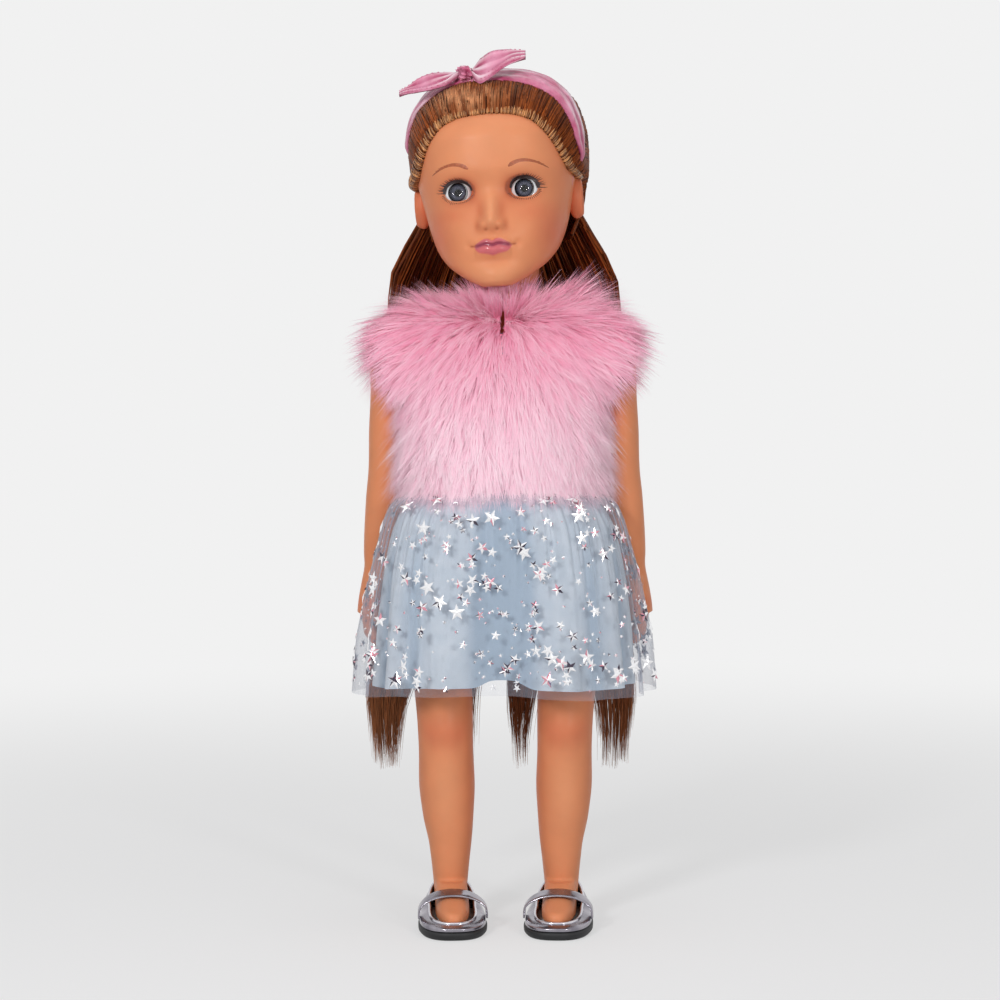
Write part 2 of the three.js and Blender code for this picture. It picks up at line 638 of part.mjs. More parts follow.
function skirt(rows, count, fold, gap) {
  const hemZ = rows[0][0];
  const ring = (row, inset) => {
    const free = skirtRing(row, hemZ, count, fold, inset);
    return free.map((p) => v3(insideArm(p.x, p.y, p.z, gap + inset), p.y, p.z));
  };
  return tube(rows.map((row) => ring(row, 0)), rows.map((row) => ring(row, SKIRT_T)));
}

// Head rows are [share of its height, half width, front, back, widest place], with y as for the whole doll
const headRows = [
  [0, 7, -38, -25, -31],
  [0.025, 11.5, -40.5, -19, -28],
  [0.068, 18.5, -41, -8, -22],
  [0.127, 26.5, -41, 8, -14],
  [0.195, 31.5, -41.3, 20, -6],
  [0.271, 35, -41.5, 32, 0],
  [0.356, 37.8, -40.5, 42, 3],
  [0.441, 40.2, -39.5, 48, 5],
  [0.551, 42.6, -41.8, 53, 5],
  [0.678, 43.6, -41.5, 55, 5],
  [0.805, 41, -34.5, 51, 5],
  [0.89, 35, -24, 42, 6],
  [0.949, 26, -12, 29, 7],
  [0.983, 14, -1, 17, 7.5],
  [1, 4, 5, 10.5, 7.8],
];
const headCurve = through(headRows);
const headAt = (h) => headCurve(h / HEAD_H);
const HEAD_POWER = 2.15;
const HEAD_MID = v3(0, 5 - NECK_Y, 0.525 * HEAD_H - CHIN_DROP);
const NOSE_H = 33.5; // above the chin, as are the next two
const MOUTH_H = 22.5;
const CHEEK_H = 30;

// The face stands out from the plain oval: nose, lips, chin and cheeks, and hollows for the eyes
function relief(x, h) {
  const bridge = 2.2 * bump(x, 3.6) * bump(h - NOSE_H - 8.5, 6);
  const nose = 5.4 * bump(x, 5.2) * bump(h - NOSE_H, 6) + bridge;
  const lips = 2 * bump(x, 9) * bump(h - MOUTH_H, 4.2);
  const chin = 1.6 * bump(x, 9) * bump(h - 7, 6);
  const cheeks = bump(Math.abs(x) - 22, 9) * bump(h - CHEEK_H, 9);
  const sockets = -1.4 * bump(Math.abs(x) - EYE_X, 7.5) * bump(h - EYE_H, 6.5);
  return nose + lips + chin + cheeks + sockets;
}

// A point of the head's skin in its own frame, whose origin is the neck ball's centre. turn 0 is the front
function headPoint(h, turn, grow = 0) {
  const [half, front, back, mid] = headAt(h);
  const ahead = Math.cos(turn);
  const x = (half + grow) * signedPower(Math.sin(turn), 2 / HEAD_POWER);
  const reach = ahead > 0 ? front - mid - grow : back - mid + grow;
  const y = mid + reach * Math.abs(ahead) ** (2 / HEAD_POWER);
  const push = grow === 0 && ahead > 0 ? relief(x, h) * smoothstep(ahead, 0.1, 0.5) : 0;
  return v3(x, y - push - NECK_Y, h - CHIN_DROP);
}

function insideHead(p) {
  const h = p.z + CHIN_DROP;
  if (h < 0 || h > HEAD_H) return false;
  const [half, front, back, mid] = headAt(h);
  const y = p.y + NECK_Y - mid;
  const v = y < 0 ? y / (front - mid) : y / (back - mid);
  return (Math.abs(p.x) / half) ** HEAD_POWER + v ** HEAD_POWER < 1;
}

// How far the head's skin lies from a point inside it
function reachOut(from, direction) {
  let [near, far] = [0, 100];
  for (let i = 0; i < 30; i++) {
    const middle = (near + far) / 2;
    if (insideHead(from.clone().addScaledVector(direction, middle))) near = middle;
    else far = middle;
  }
  return near;
}

// Turns that are closer together over the face than round the back
function faceTurns(count, evenness) {
  return range(count).map((i) => {
    const s = -1 + (2 * i) / count;
    return Math.PI * s * (evenness + (1 - evenness) * Math.abs(s));
  });
}

function headSkin() {
  const low = [0, 0.025, 0.068, 0.11, 0.153, 0.19, 0.229, 0.263, 0.297, 0.34];
  const high = [0.39, 0.449, 0.517, 0.602, 0.695, 0.78, 0.856, 0.924, 0.966, 0.996];
  const turns = faceTurns(30, 0.45);
  return loft([...low, ...high].map((share) => turns.map((turn) => headPoint(share * HEAD_H, turn))));
}

function headHollow() {
  const shares = [0.051, 0.119, 0.212, 0.339, 0.508, 0.678, 0.805, 0.89, 0.932];
  const turns = faceTurns(14, 0.8);
  return loft(shares.map((share) => turns.map((turn) => headPoint(share * HEAD_H, turn, -WALL - 0.6))));
}

const EAR_H = 44; // above the chin
const EAR_X = headAt(EAR_H)[0] + 2.7;

function ear(side) {
  const shape = new THREE.SphereGeometry(1, 8, 6).scale(3.4, 6, 10.5);
  return solid(shape.translate(side * EAR_X, 2, EAR_H - CHIN_DROP));
}

// A zone of a ball: [radius, height] points up an arc, for a turned solid
function zone(radius, z0, z1, steps) {
  return range(steps + 1).map((i) => {
    const z = lerp(z0, z1, i / steps);
    return [Math.sqrt(radius ** 2 - z ** 2), z];
  });
}

function ringBetween(inner, outer, z0, z1) {
  const profile = [...zone(outer, z0, z1, 4), ...zone(inner, z1, z0, 4)];
  return [...profile, profile[0]];
}

// The head's seat is a zone of a ball round the neck cup
const SEAT_R = BALL_R + FIT + CUP_T + 2 * RUN;

function neckSeat() {
  return turnedZ(ringBetween(SEAT_R, SEAT_R + WALL, -SEAT_DEPTH, CUP_HALF_H), 20);
}

const eyeFront = headPoint(EYE_H, Math.asin((EYE_X / headAt(EYE_H)[0]) ** (HEAD_POWER / 2))).y;
const eyeY = eyeFront + EYE_RECESS + EYE_R;
const eyeZ = EYE_H - CHIN_DROP;

function lidOpening(side) {
  const opening = new THREE.CylinderGeometry(1, 1, 40, 16).scale(LID_W / 2, 1, LID_H / 2);
  return solid(opening.translate(side * EYE_X, eyeY - 24, eyeZ));
}

function headShell() {
  const shell = cut(join(headSkin(), ear(1), ear(-1)), headHollow());
  const room = ball(0, 0, 0, SEAT_R + RUN, 16, 8);
  const eyes = [1, -1].flatMap((side) => [
    lidOpening(side),
    ball(side * EYE_X, eyeY, eyeZ, EYE_R + 2 * FIT, 14, 10),
  ]);
  return cut(join(cut(shell, room), neckSeat()), ...eyes);
}

function neckCup() {
  const inner = BALL_R + FIT;
  return turnedZ(ringBetween(inner, inner + CUP_T, -CUP_HALF_H, CUP_HALF_H), 20, 0, NECK_Y, NECK_Z);
}

// Turned eye parts: [radius, depth behind the eyeball's front] about an axis along Y
function turnedEye(side, points, sides) {
  const profile = points.map(([radius, depth]) => new THREE.Vector2(radius, depth));
  return solid(new THREE.LatheGeometry(profile, sides).translate(side * EYE_X, eyeY - EYE_R, eyeZ));
}

const arcDepth = (radius) => EYE_R - Math.sqrt(EYE_R ** 2 - radius ** 2);
const irisFront = arcDepth(IRIS_R) + 1;
const CORNEA_PROUD = 0.6;

function eyeWhite(side) {
  const floor = irisFront + IRIS_T + FIT;
  const front = range(4).map((i) => {
    const radius = lerp(IRIS_R + FIT, EYE_R, i / 3);
    return [radius, arcDepth(radius)];
  });
  const rear = range(3).map((i) => {
    const angle = (Math.PI / 2) * ((i + 1) / 3);
    return [i === 2 ? 0 : EYE_R * Math.cos(angle), EYE_R + EYE_R * Math.sin(angle)];
  });
  return turnedEye(side, [[0, floor], [IRIS_R + FIT, floor], ...front, ...rear], 16);
}

function iris(side) {
  const back = irisFront + IRIS_T;
  return turnedEye(side, [[0, irisFront], [IRIS_R, irisFront], [IRIS_R, back], [0, back]], 16);
}

function cornea(side) {
  const back = irisFront - FIT;
  const dome = range(4).map((i) => {
    const radius = (IRIS_R * (3 - i)) / 3;
    return [radius, arcDepth(radius) - CORNEA_PROUD * (1 - (radius / IRIS_R) ** 2)];
  });
  return turnedEye(side, [[0, back], [IRIS_R, back], ...dome], 16);
}

function eyeCup(side) {
  const arc = (radius) =>
    range(4).map((i) => {
      const angle = rad(12) + rad(60) * (i / 3);
      return [radius * Math.cos(angle), EYE_R + radius * Math.sin(angle)];
    });
  const inner = arc(EYE_R + FIT);
  const profile = [...inner, ...arc(EYE_R + FIT + EYE_CUP_T).reverse()];
  profile.push(profile[0]);
  return turnedEye(side, profile, 16);
}

// Hair: a cap over the scalp, its edge along the hairline: [turn in degrees, share of the head's height]
const hairline = through([
  [0, 0.82],
  [25, 0.8],
  [45, 0.742],
  [65, 0.638],
  [80, 0.533],
  [101, 0.498],
  [113, 0.384],
  [130, 0.262],
  [180, 0.201],
]);

function capPoint(h, turn, grow) {
  const skinPoint = headPoint(h, turn, 0.001);
  const out = skinPoint.clone().sub(HEAD_MID).normalize();
  return skinPoint.addScaledVector(out, grow);
}

function hairCap() {
  const rows = 8;
  const turns = faceTurns(22, 0.85);
  const ring = (k, grow) =>
    turns.map((turn) => {
      const [edge] = hairline(Math.abs(THREE.MathUtils.radToDeg(turn)));
      const h = lerp(edge * HEAD_H, HEAD_H - 0.5, Math.sin((Math.PI / 2) * (k / rows) ** 1.3));
      return capPoint(h, turn, grow);
    });
  const inner = range(rows + 1).map((i) => ring(rows - i, FIT + HAIR_ROOM));
  const outer = range(rows + 1).map((i) => ring(i, HAIR_T * smoothstep(i, -0.8, 1)));
  return loft([...inner, ...outer]);
}

// Headband: a satin hoop that lies over the hair from ear to ear
const BAND_FIT = 0.8;

function bandPoint(angle, across, lift) {
  const share = Math.abs(angle) / rad(BAND_REACH);
  const y = lerp(-16, 3, share ** 1.5) + across * lerp(BAND_W, BAND_END_W, share ** 2);
  const from = v3(0, y, HEAD_MID.z);
  const direction = v3(Math.sin(angle), 0, Math.cos(angle));
  return from.addScaledVector(direction, reachOut(from, direction) + HAIR_T + BAND_FIT + lift);
}

function headband() {
  const steps = 24;
  const across = [-0.5, 0, 0.5];
  const rows = range(steps + 1).map((k) => {
    const angle = rad(lerp(-BAND_REACH, BAND_REACH, k / steps));
    const line = (lift) => across.map((w) => bandPoint(angle, w, lift));
    return { over: line(BAND_T), under: line(0) };
  });
  return ribbon(rows);
}

// Bow: a knot on the band, with a loop out to each side
const knotSeat = bandPoint(rad(BOW_ANGLE), 0, BAND_T);
const knotOut = knotSeat.clone().sub(HEAD_MID).normalize();
const knotMid = knotSeat.clone().addScaledVector(knotOut, KNOT[2] / 2 + 2 * FIT);

function bowKnot() {
  const [wide, deep, tall] = KNOT;
  const shape = new THREE.SphereGeometry(0.5, 12, 8);
  const position = shape.attributes.position;
  for (let i = 0; i < position.count; i++) {
    const p = v3(0, 0, 0).fromBufferAttribute(position, i);
    const square = v3(signedPower(p.x * 2, 0.7), signedPower(p.y * 2, 0.7), signedPower(p.z * 2, 0.7));
    position.setXYZ(i, (square.x * wide) / 2, (square.y * deep) / 2, (square.z * tall) / 2);
  }
  return solid(shape.translate(knotMid.x, knotMid.y, knotMid.z));
}

// An ear's rows are [reach from the knot, rise, half width, half thickness]
function bowEar(side, rows) {
  const start = knotMid.clone().add(v3(side * (KNOT[0] / 2 + FIT), 0, 0));
  const ring = ([reach, rise, half, thick]) =>
    range(10).map((i) => {
      const angle = (TAU * i) / 10;
      const y = start.y + half * signedPower(Math.cos(angle), 0.8);
      return v3(start.x + side * reach, y, start.z + rise + thick * Math.sin(angle));
    });
  return loft(rows.map(ring));
}

const rightEar = [
  [0, 0, 3, 1.6],
  [7, 0.4, 6, 2.6],
  [16, -1.6, 8.5, 3],
  [26, -5, 9.6, 2.6],
  [33, -8.4, 8.6, 1.6],
  [36, -10, 7, 0.8],
];
const leftEar = [
  [0, 0, 3, 1.6],
  [6, 1.2, 5.6, 2.4],
  [14, 3, 8, 2.8],
  [22, 5.2, 9.2, 2.6],
  [28, 6.6, 9, 1.8],
  [31, 7, 7.6, 0.8],
];

// Long hair: a wide lock down each side of the back, from the cap to two tapered ends
const headFrame = new THREE.Matrix4()
  .makeRotationFromEuler(new THREE.Euler(0, rad(HEAD_ROLL), rad(HEAD_TURN), "YZX"))
  .setPosition(0, NECK_Y, NECK_Z);
const lockSpread = through([
  [LOCK_END_Z, 68, 3, 44, 44],
  [130, 66, 3, 46, 46],
  [180, 64, 3, 49.5, 48],
  [240, 65, 3, 49.5, 47],
  [290, 66, 2, 49.5, 44],
  [325, 64, 1.5, 51, 37],
  [NECK_Z - 5, 59, 1.2, 55, 30],
]);

function lockPoint(side, s, z, out) {
  const turn = side * rad(lerp(178.5, 104, s));
  const h = z - NECK_Z + CHIN_DROP + 12 * s;
  const near = capPoint(Math.max(h, 24), turn, HAIR_T + 0.9 + out).applyMatrix4(headFrame);
  const [outer, inner, yMiddle, yEdge] = lockSpread(z);
  const x = side * lerp(inner, outer, s);
  const hung = v3(x, lerp(yMiddle, yEdge, s ** 2) + out, z);
  const free = smoothstep(z, NECK_Z, NECK_Z + 28);
  return v3(lerp(hung.x, near.x, free), lerp(hung.y, near.y, free), z);
}

function lock(side) {
  const [columns, levels] = [6, 12];
  const row = (k) => {
    const line = (face) =>
      range(columns + 1).map((i) => {
        const s = i / columns;
        const end = LOCK_END_Z + 34 * bump(s - 0.52, 0.16) + 12 * bump(s - 1, 0.12);
        const z = lerp(LOCK_TOP_Z, end, (k / levels) ** 0.9);
        const edge = Math.min(1, 2.4 * Math.min(s + 0.14, 1.14 - s));
        const taper = smoothstep(levels - k, -1, 5) * lerp(0.35, 1, smoothstep(k, 0, 4));
        return lockPoint(side, s, z, face * LOCK_T * edge * taper);
      });
    return { over: line(1), under: line(0) };
  };
  return ribbon(range(levels + 1).map(row));
}

// The assembly
const doll = new THREE.Group();
const torso = new THREE.Group();
const neck = new THREE.Group();
const head = new THREE.Group();
head.applyMatrix4(headFrame);
doll.add(torso, neck, head);

const [giletBack, giletLeft, giletRight] = giletPanels();
const stripTop = SHOULDER_Z - 17;
piece(torso, "torso_shell", VINYL, torsoShell());
piece(torso, "dress_bodice", SATIN_BLUE, bodice());
piece(torso, "dress_waistband", SATIN_BLUE, waistband());
piece(torso, "dress_back_fastener", STRIP, stripBetween(
  BODICE_T + FIT, BODICE_T + FIT + STRIP_T, BAND_BOTTOM_Z + BAND_H + FIT, stripTop, false,
));
piece(torso, "skirt_lining", SATIN_BLUE, skirt(liningRows, 32, 4.5, 2 * SKIRT_GAP + SKIRT_T));
piece(torso, "skirt_tulle", TULLE, skirt(tulleRows, 40, 6, SKIRT_GAP));
piece(torso, "gilet_back", FUR, giletBack);
piece(torso, "gilet_front_left", FUR, giletLeft);
piece(torso, "gilet_front_right", FUR, giletRight);
piece(torso, "gilet_fastener", STRIP, stripBetween(
  GILET_FRONT - FIT - STRIP_T, GILET_FRONT - FIT, CHEST_Z - 4, stripTop, true,
));
piece(neck, "neck_cup", PLUG, neckCup());
piece(head, "head_shell", VINYL, headShell());
piece(head, "hair_cap", HAIR, hairCap());
piece(head, "headband", SATIN_PINK, headband());
piece(head, "bow_knot", SATIN_PINK, bowKnot());
piece(head, "bow_ear_right", SATIN_PINK, bowEar(-1, rightEar));
piece(head, "bow_ear_left", SATIN_PINK, bowEar(1, leftEar));

for (const [side, name] of [[1, "left"], [-1, "right"]]) {
  piece(neck, `hair_lock_${name}`, HAIR, lock(side));
  piece(head, `eye_white_${name}`, EYE_WHITE, eyeWhite(side));
  piece(head, `eye_iris_${name}`, IRIS, iris(side));
  piece(head, `eye_cornea_${name}`, CORNEA, cornea(side));
  piece(head, `eye_cup_${name}`, PLUG, eyeCup(side));

  const armGroup = new THREE.Group();
  piece(armGroup, `arm_${name}`, VINYL, arm(side));
  const shoulderPlug = plug(side, SHOULDER_HALF, ARM_STEM_R, SHOULDER_Y, SHOULDER_Z);
  piece(armGroup, `shoulder_plug_${name}`, PLUG, shoulderPlug);

  const legGroup = new THREE.Group();
  piece(legGroup, `leg_${name}`, VINYL, leg(side));
  piece(legGroup, `hip_plug_${name}`, PLUG, plug(side, PELVIS_HALF, HIP_STEM_R, 0, HIP_Z));
  piece(legGroup, `shoe_upper_${name}`, SILVER, shoeUpper(side));
  piece(legGroup, `shoe_sole_${name}`, RUBBER, flatSheet(side, 0, -SHOE_WELT, SOLE_T));
  piece(legGroup, `shoe_insole_${name}`, STRIP, flatSheet(side, SOLE_T + FIT, SHOE_T + FIT, INSOLE_T));
  piece(legGroup, `shoe_strap_${name}`, SILVER, shoeStrap(side));
  doll.add(armGroup, legGroup);
}

export default doll;
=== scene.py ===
"""A vinyl play doll, 46 cm tall, in a fur gilet, a starred tulle skirt, strap shoes and a hair bow.

The doll stands on z = 0 and faces -Y, and its own left is +X. Sizes are in millimetres, and each
mesh is scaled to metres as it is made.
"""

import json
import math

import bmesh
import bpy
import numpy as np
from mathutils import Matrix, Vector

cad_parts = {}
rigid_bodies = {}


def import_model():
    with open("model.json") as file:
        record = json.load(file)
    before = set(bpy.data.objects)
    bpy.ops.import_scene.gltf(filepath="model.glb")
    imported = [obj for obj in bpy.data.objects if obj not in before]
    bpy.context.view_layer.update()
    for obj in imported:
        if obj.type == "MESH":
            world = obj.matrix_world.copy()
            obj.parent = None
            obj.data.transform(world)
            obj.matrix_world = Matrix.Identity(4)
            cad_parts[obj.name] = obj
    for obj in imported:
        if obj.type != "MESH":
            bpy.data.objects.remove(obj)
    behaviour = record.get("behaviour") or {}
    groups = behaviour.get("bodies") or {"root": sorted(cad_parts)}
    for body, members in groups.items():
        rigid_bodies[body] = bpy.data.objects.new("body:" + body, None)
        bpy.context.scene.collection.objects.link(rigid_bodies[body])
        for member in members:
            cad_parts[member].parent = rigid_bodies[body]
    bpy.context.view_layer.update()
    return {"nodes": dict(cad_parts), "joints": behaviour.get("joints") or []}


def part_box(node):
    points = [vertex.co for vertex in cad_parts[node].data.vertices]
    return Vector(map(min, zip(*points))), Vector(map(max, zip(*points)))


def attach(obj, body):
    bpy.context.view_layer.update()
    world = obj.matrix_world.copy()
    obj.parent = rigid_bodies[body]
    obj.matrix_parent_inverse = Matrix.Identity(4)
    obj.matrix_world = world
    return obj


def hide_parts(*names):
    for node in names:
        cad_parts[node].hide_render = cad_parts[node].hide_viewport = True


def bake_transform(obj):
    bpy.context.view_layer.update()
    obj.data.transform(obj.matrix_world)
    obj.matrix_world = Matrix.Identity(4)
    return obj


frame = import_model()

MM = 0.001
TAU = 2 * math.pi
LEFT, RIGHT = 1, -1
SIDES = {LEFT: "left", RIGHT: "right"}

# Places from the frame
pivots = {joint["name"]: Vector(joint["pos_m"]) / MM for joint in frame["joints"]}
HIP_X, _, HIP_Z = pivots["hip_left"]
SHOULDER_X, SHOULDER_Y, SHOULDER_Z = pivots["shoulder_left"]
NECK = pivots["neck_turn"]


def corners(node):
    """A CAD node's lowest and highest corner."""
    return [np.array(corner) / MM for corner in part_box(node)]


WAIST_Z = corners("skirt_tulle")[1][2]
HEM_Z = corners("skirt_tulle")[0][2]
LINING_HEM_Z = corners("skirt_lining")[0][2]
GILET_HEM_Z = corners("gilet_back")[0][2]

# Camera: it looks slightly down on the doll from a little to the viewer's right
CAMERA = (20, -1350, 290)
CAMERA_DOWN = 2.652
CAMERA_AROUND = 0.937
CAMERA_ROLL = -0.293
LENS = 91.28

# Head
HEAD_H = 114.5
CHIN_DROP = 12
CHIN_SHARE = 0.019
HEAD_ROLL = -3.3
HEAD_TURN = -4.6
HEAD_POWER = 2.15
HEAD_MID = np.array((0, -1, 0.525 * HEAD_H - CHIN_DROP))
EYE_X = 17.3
EYE_H = 51.5
EYE_R = 9.5
EYE_RECESS = 0.6
IRIS_R = 5.1
LID_HALF = 6.9
LID_UP = 5.1
LID_DOWN = 4.5
NOSE_H = 35.5
MOUTH_H = 23.2
MOUTH_HALF = 12.6
LIP_HALF = 9.6

# Hair and band
HAIR_T = 4.2
LOCK_END_Z = 80
BAND_W = 15
BAND_END_W = 7
BAND_T = 1.2
BAND_REACH = 104
BAND_FIT = 0.8
BOW_ANGLE = -12
PLEATS = 3.2 * math.pi

# Body and clothes
TORSO_POWER = 2.3
NECK_BALL_R = 15.5
JOINT_GAP = 0.3
SKIRT_MID = -12
SKIRT_POWER = 2.35
SKIRT_FOLDS = 10
PILE = 24
TUFT_STRANDS = 8
HEM_FOLLOWS = 0.74
FUR_HEM_Z = 219
NET_SPACING = 0.7

# Shoes
SOLE_T = 4
SHOE_L = 68
SHOE_W = 35
SHOE_T = 1.6
TOE_CAP_Z = 8.8
SHOE_TOP_Z = 21
EDGE_TUCK = 5
STRAP_HALF = 4
STRAP_T = 1.0
STRAP_Y = -8
SHOE_X = 28.5
SHOE_Y = -10
TOE_IN = 4


# Numbers
def rgb(red, green, blue):
    """A screen colour, 0 to 255, as linear light."""
    share = np.array((red, green, blue)) / 255
    linear = np.where(share <= 0.04045, share / 12.92, ((share + 0.055) / 1.055) ** 2.4)
    return (*linear, 1.0)


def mix(a, b, share):
    return a + (b - a) * share


def smooth(value, low, high):
    """An eased step from 0 at low to 1 at high."""
    share = np.clip((value - low) / (high - low), 0, 1)
    return share * share * (3 - 2 * share)


def bump(value, width):
    """1 where value is 0, fading to nothing over about twice the width."""
    return np.exp(-((value / width) ** 2))


def signed_power(value, power):
    return np.sign(value) * np.abs(value) ** power


def through(rows):
    """A smooth curve through rows of [place, value, value, ...], without overshoot."""
    rows = np.array(rows, float)
    place, values = rows[:, 0], rows[:, 1:]
    width = np.diff(place)
    step = np.diff(values, axis=0) / width[:, None]
    product, total = step[:-1] * step[1:], step[:-1] + step[1:]
    inner = np.where(product > 0, 2 * product / np.where(product > 0, total, 1), 0)
    slope = np.vstack([step[:1], inner, step[-1:]])

    def at(where):
        where = np.clip(np.asarray(where, float), place[0], place[-1])
        i = np.clip(np.searchsorted(place, where, side="right") - 1, 0, len(width) - 1)
        w = width[i][..., None]
        t = (where - place[i])[..., None] / w
        rise = t * (1 - t) ** 2 * slope[i] - t * t * (1 - t) * slope[i + 1]
        return mix(values[i], values[i + 1], t * t * (3 - 2 * t)) + w * rise

    return at


def unit(vectors):
    return vectors / np.linalg.norm(vectors, axis=-1, keepdims=True)


def stacked(*parts):
    """Points from their coordinates, each spread to the shape of all."""
    return np.stack(np.broadcast_arrays(*parts), axis=-1)


def circle(count):
    """Evenly spaced angles round a circle."""
    return TAU * np.arange(count) / count


def hoop(centre, radius, side, other, count):
    """A ring of points round a centre, in the plane of two directions."""
    turn = circle(count)[:, None]
    return centre + radius * (np.cos(turn) * side + np.sin(turn) * other)


def oval(angle, power, half, front, back, mid=0):
    """x and y round a squared oval that is widest at mid and reaches from front to back."""
    across = signed_power(np.cos(angle), 2 / power)
    along = signed_power(np.sin(angle), 2 / power)
    return half * across, mid + np.where(along > 0, back - mid, mid - front) * along


# Meshes
def grid_faces(rows, columns, closed=True):
    """The quads of a grid of points whose rows run round and stack upwards."""
    i = np.arange(rows - 1)[:, None] * columns
    j = np.arange(columns if closed else columns - 1)
    k = (j + 1) % columns
    return np.stack([i + j, i + k, i + columns + k, i + columns + j], axis=-1).reshape(-1, 4).tolist()


def tube(rings):
    """A skin over rings of points, the last ring joined to the first."""
    rows, columns = rings.shape[:2]
    last = (rows - 1) * columns
    j = np.arange(columns)
    k = (j + 1) % columns
    closing = np.stack([last + j, last + k, k, j], axis=-1).tolist()
    return rings.reshape(-1, 3), grid_faces(rows, columns) + closing


def loft(rings):
    """A closed skin over rings of points, from the lowest up."""
    rows, columns = rings.shape[:2]
    points = rings.reshape(-1, 3)
    faces = grid_faces(rows, columns)
    count = len(points)
    last = (rows - 1) * columns
    for j in range(columns):
        k = (j + 1) % columns
        faces.append([k, j, count])
        faces.append([last + j, last + k, count + 1])
    return np.vstack([points, rings[0].mean(axis=0), rings[-1].mean(axis=0)]), faces


def joined(parts):
    """Several skins as one list of points and one of faces."""
    points, faces = [], []
    count = 0
    for some_points, some_faces in parts:
        points.append(some_points)
        faces.extend([[count + i for i in face] for face in some_faces])
        count += len(some_points)
    return np.vstack(points), faces


def placed(name, data):
    """A new object in the scene."""
    obj = bpy.data.objects.new(name, data)
    bpy.context.scene.collection.objects.link(obj)
    return obj


def make(name, skin, material=None):
    """An object at the origin from a skin in millimetres."""
    points, faces = skin
    mesh = bpy.data.meshes.new(name)
    mesh.from_pydata((np.asarray(points) * MM).tolist(), [], faces)
    mesh.shade_smooth()
    mesh.validate()
    if material:
        mesh.materials.append(material)
    return placed(name, mesh)


def baked(obj):
    """The object with its modifiers turned into plain mesh."""
    graph = bpy.context.evaluated_depsgraph_get()
    mesh = bpy.data.meshes.new_from_object(obj.evaluated_get(graph))
    name = obj.name
    bpy.data.objects.remove(obj)
    mesh.name = name
    return placed(name, mesh)


def modify(obj, kind, **settings):
    modifier = obj.modifiers.new(kind.lower(), kind)
    for key, value in settings.items():
        setattr(modifier, key, value)


def fused(name, parts, voxel, rounds, material):
    """Closed skins grown together into one smooth skin."""
    obj = make(name, joined(parts))
    modify(obj, "REMESH", mode="VOXEL", voxel_size=voxel * MM, use_smooth_shade=True)
    modify(obj, "SMOOTH", factor=0.5, iterations=rounds)
    done = baked(obj)
    done.data.materials.clear()
    done.data.materials.append(material)
    return done


def reshaped(obj, change):
    """The object after change has worked on its mesh."""
    bm = bmesh.new()
    bm.from_mesh(obj.data)
    change(bm)
    bm.to_mesh(obj.data)
    bm.free()
    return obj


def drop_loose(bm):
    """Takes away the points that no face uses."""
    loose = [vert for vert in bm.verts if not vert.link_faces]
    bmesh.ops.delete(bm, geom=loose, context="VERTS")


def sliced(obj, x, side):
    """The object cut off flat at x, keeping what lies further out on that side."""

    def cut(bm):
        everything = bm.verts[:] + bm.edges[:] + bm.faces[:]
        bmesh.ops.bisect_plane(
            bm, geom=everything, plane_co=(x * MM, 0, 0), plane_no=(side, 0, 0), clear_inner=True
        )
        rim = [edge for edge in bm.edges if edge.is_boundary]
        bmesh.ops.holes_fill(bm, edges=rim, sides=0)

    return reshaped(obj, cut)


def per_point(obj, field):
    """A vector of every point of the mesh."""
    values = np.zeros(len(obj.data.vertices) * 3, np.float32)
    obj.data.vertices.foreach_get(field, values)
    return values.reshape(-1, 3).astype(float)


def points_of(obj):
    """The mesh's points in millimetres."""
    return per_point(obj, "co") / MM


def turned_out(obj):
    """Faces that all point outwards."""
    return reshaped(obj, lambda bm: bmesh.ops.recalc_face_normals(bm, faces=bm.faces))


def write(obj, name, values, kind="FLOAT", field="value"):
    """Values for every point of the mesh, kept on it under a name."""
    layer = obj.data.attributes.new(name, kind, "POINT")
    layer.data.foreach_set(field, np.asarray(values, np.float32).ravel())


def write_uv(obj, places):
    """A UV map from one place per point."""
    layer = obj.data.uv_layers.new(name="cloth")
    corner_points = np.zeros(len(obj.data.loops), np.int32)
    obj.data.loops.foreach_get("vertex_index", corner_points)
    layer.data.foreach_set("uv", np.asarray(places, np.float32)[corner_points].ravel())


def body_rings(rows, count, power):
    """Rings from rows of [height, half width, front, back, widest place]."""
    z, *outline = np.array(rows, float).T[..., None]
    return stacked(*oval(circle(count), power, *outline), z)


def limb_rings(curve, heights, count, side):
    """Rings up a limb from a curve of [middle x, middle y, half width, half depth]."""
    x, y, half_x, half_y = curve(heights).T[..., None]
    angle = side * circle(count)
    return stacked(side * (x + half_x * np.cos(angle)), y + half_y * np.sin(angle), heights[:, None])


def ball(around, rows):
    """A skin round a ball of radius 1."""
    angle = (math.pi * (np.arange(1, rows) / rows - 0.5))[:, None]
    turn = circle(around)
    flat = np.cos(angle)
    return loft(stacked(flat * np.cos(turn), flat * np.sin(turn), np.sin(angle)))


def turned(profile, sides):
    """Rings of a turned skin about z, from [radius, height] points."""
    turn = circle(sides)
    radius, height = np.array(profile, float).T[..., None]
    return stacked(radius * np.cos(turn), radius * np.sin(turn), height)


# Pieces
def ride(obj, body, slot, *nodes):
    """The piece moves with a body and stands for CAD nodes, which it hides. The slot is not used."""
    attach(obj, body)
    if nodes:
        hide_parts(*nodes)
    return obj


def piece(name, skin, material, body, slot, *nodes):
    """A closed piece that moves with a body."""
    return ride(turned_out(make(name, skin, material)), body, slot, *nodes)


# Materials
def add(tree, kind, inputs=None, **settings):
    """A node with its settings, and with its inputs set or joined."""
    node = tree.nodes.new(kind)
    for key, value in settings.items():
        setattr(node, key, value)
    for key, value in (inputs or {}).items():
        if isinstance(value, bpy.types.NodeSocket):
            tree.links.new(value, node.inputs[key])
        else:
            node.inputs[key].default_value = value
    return node


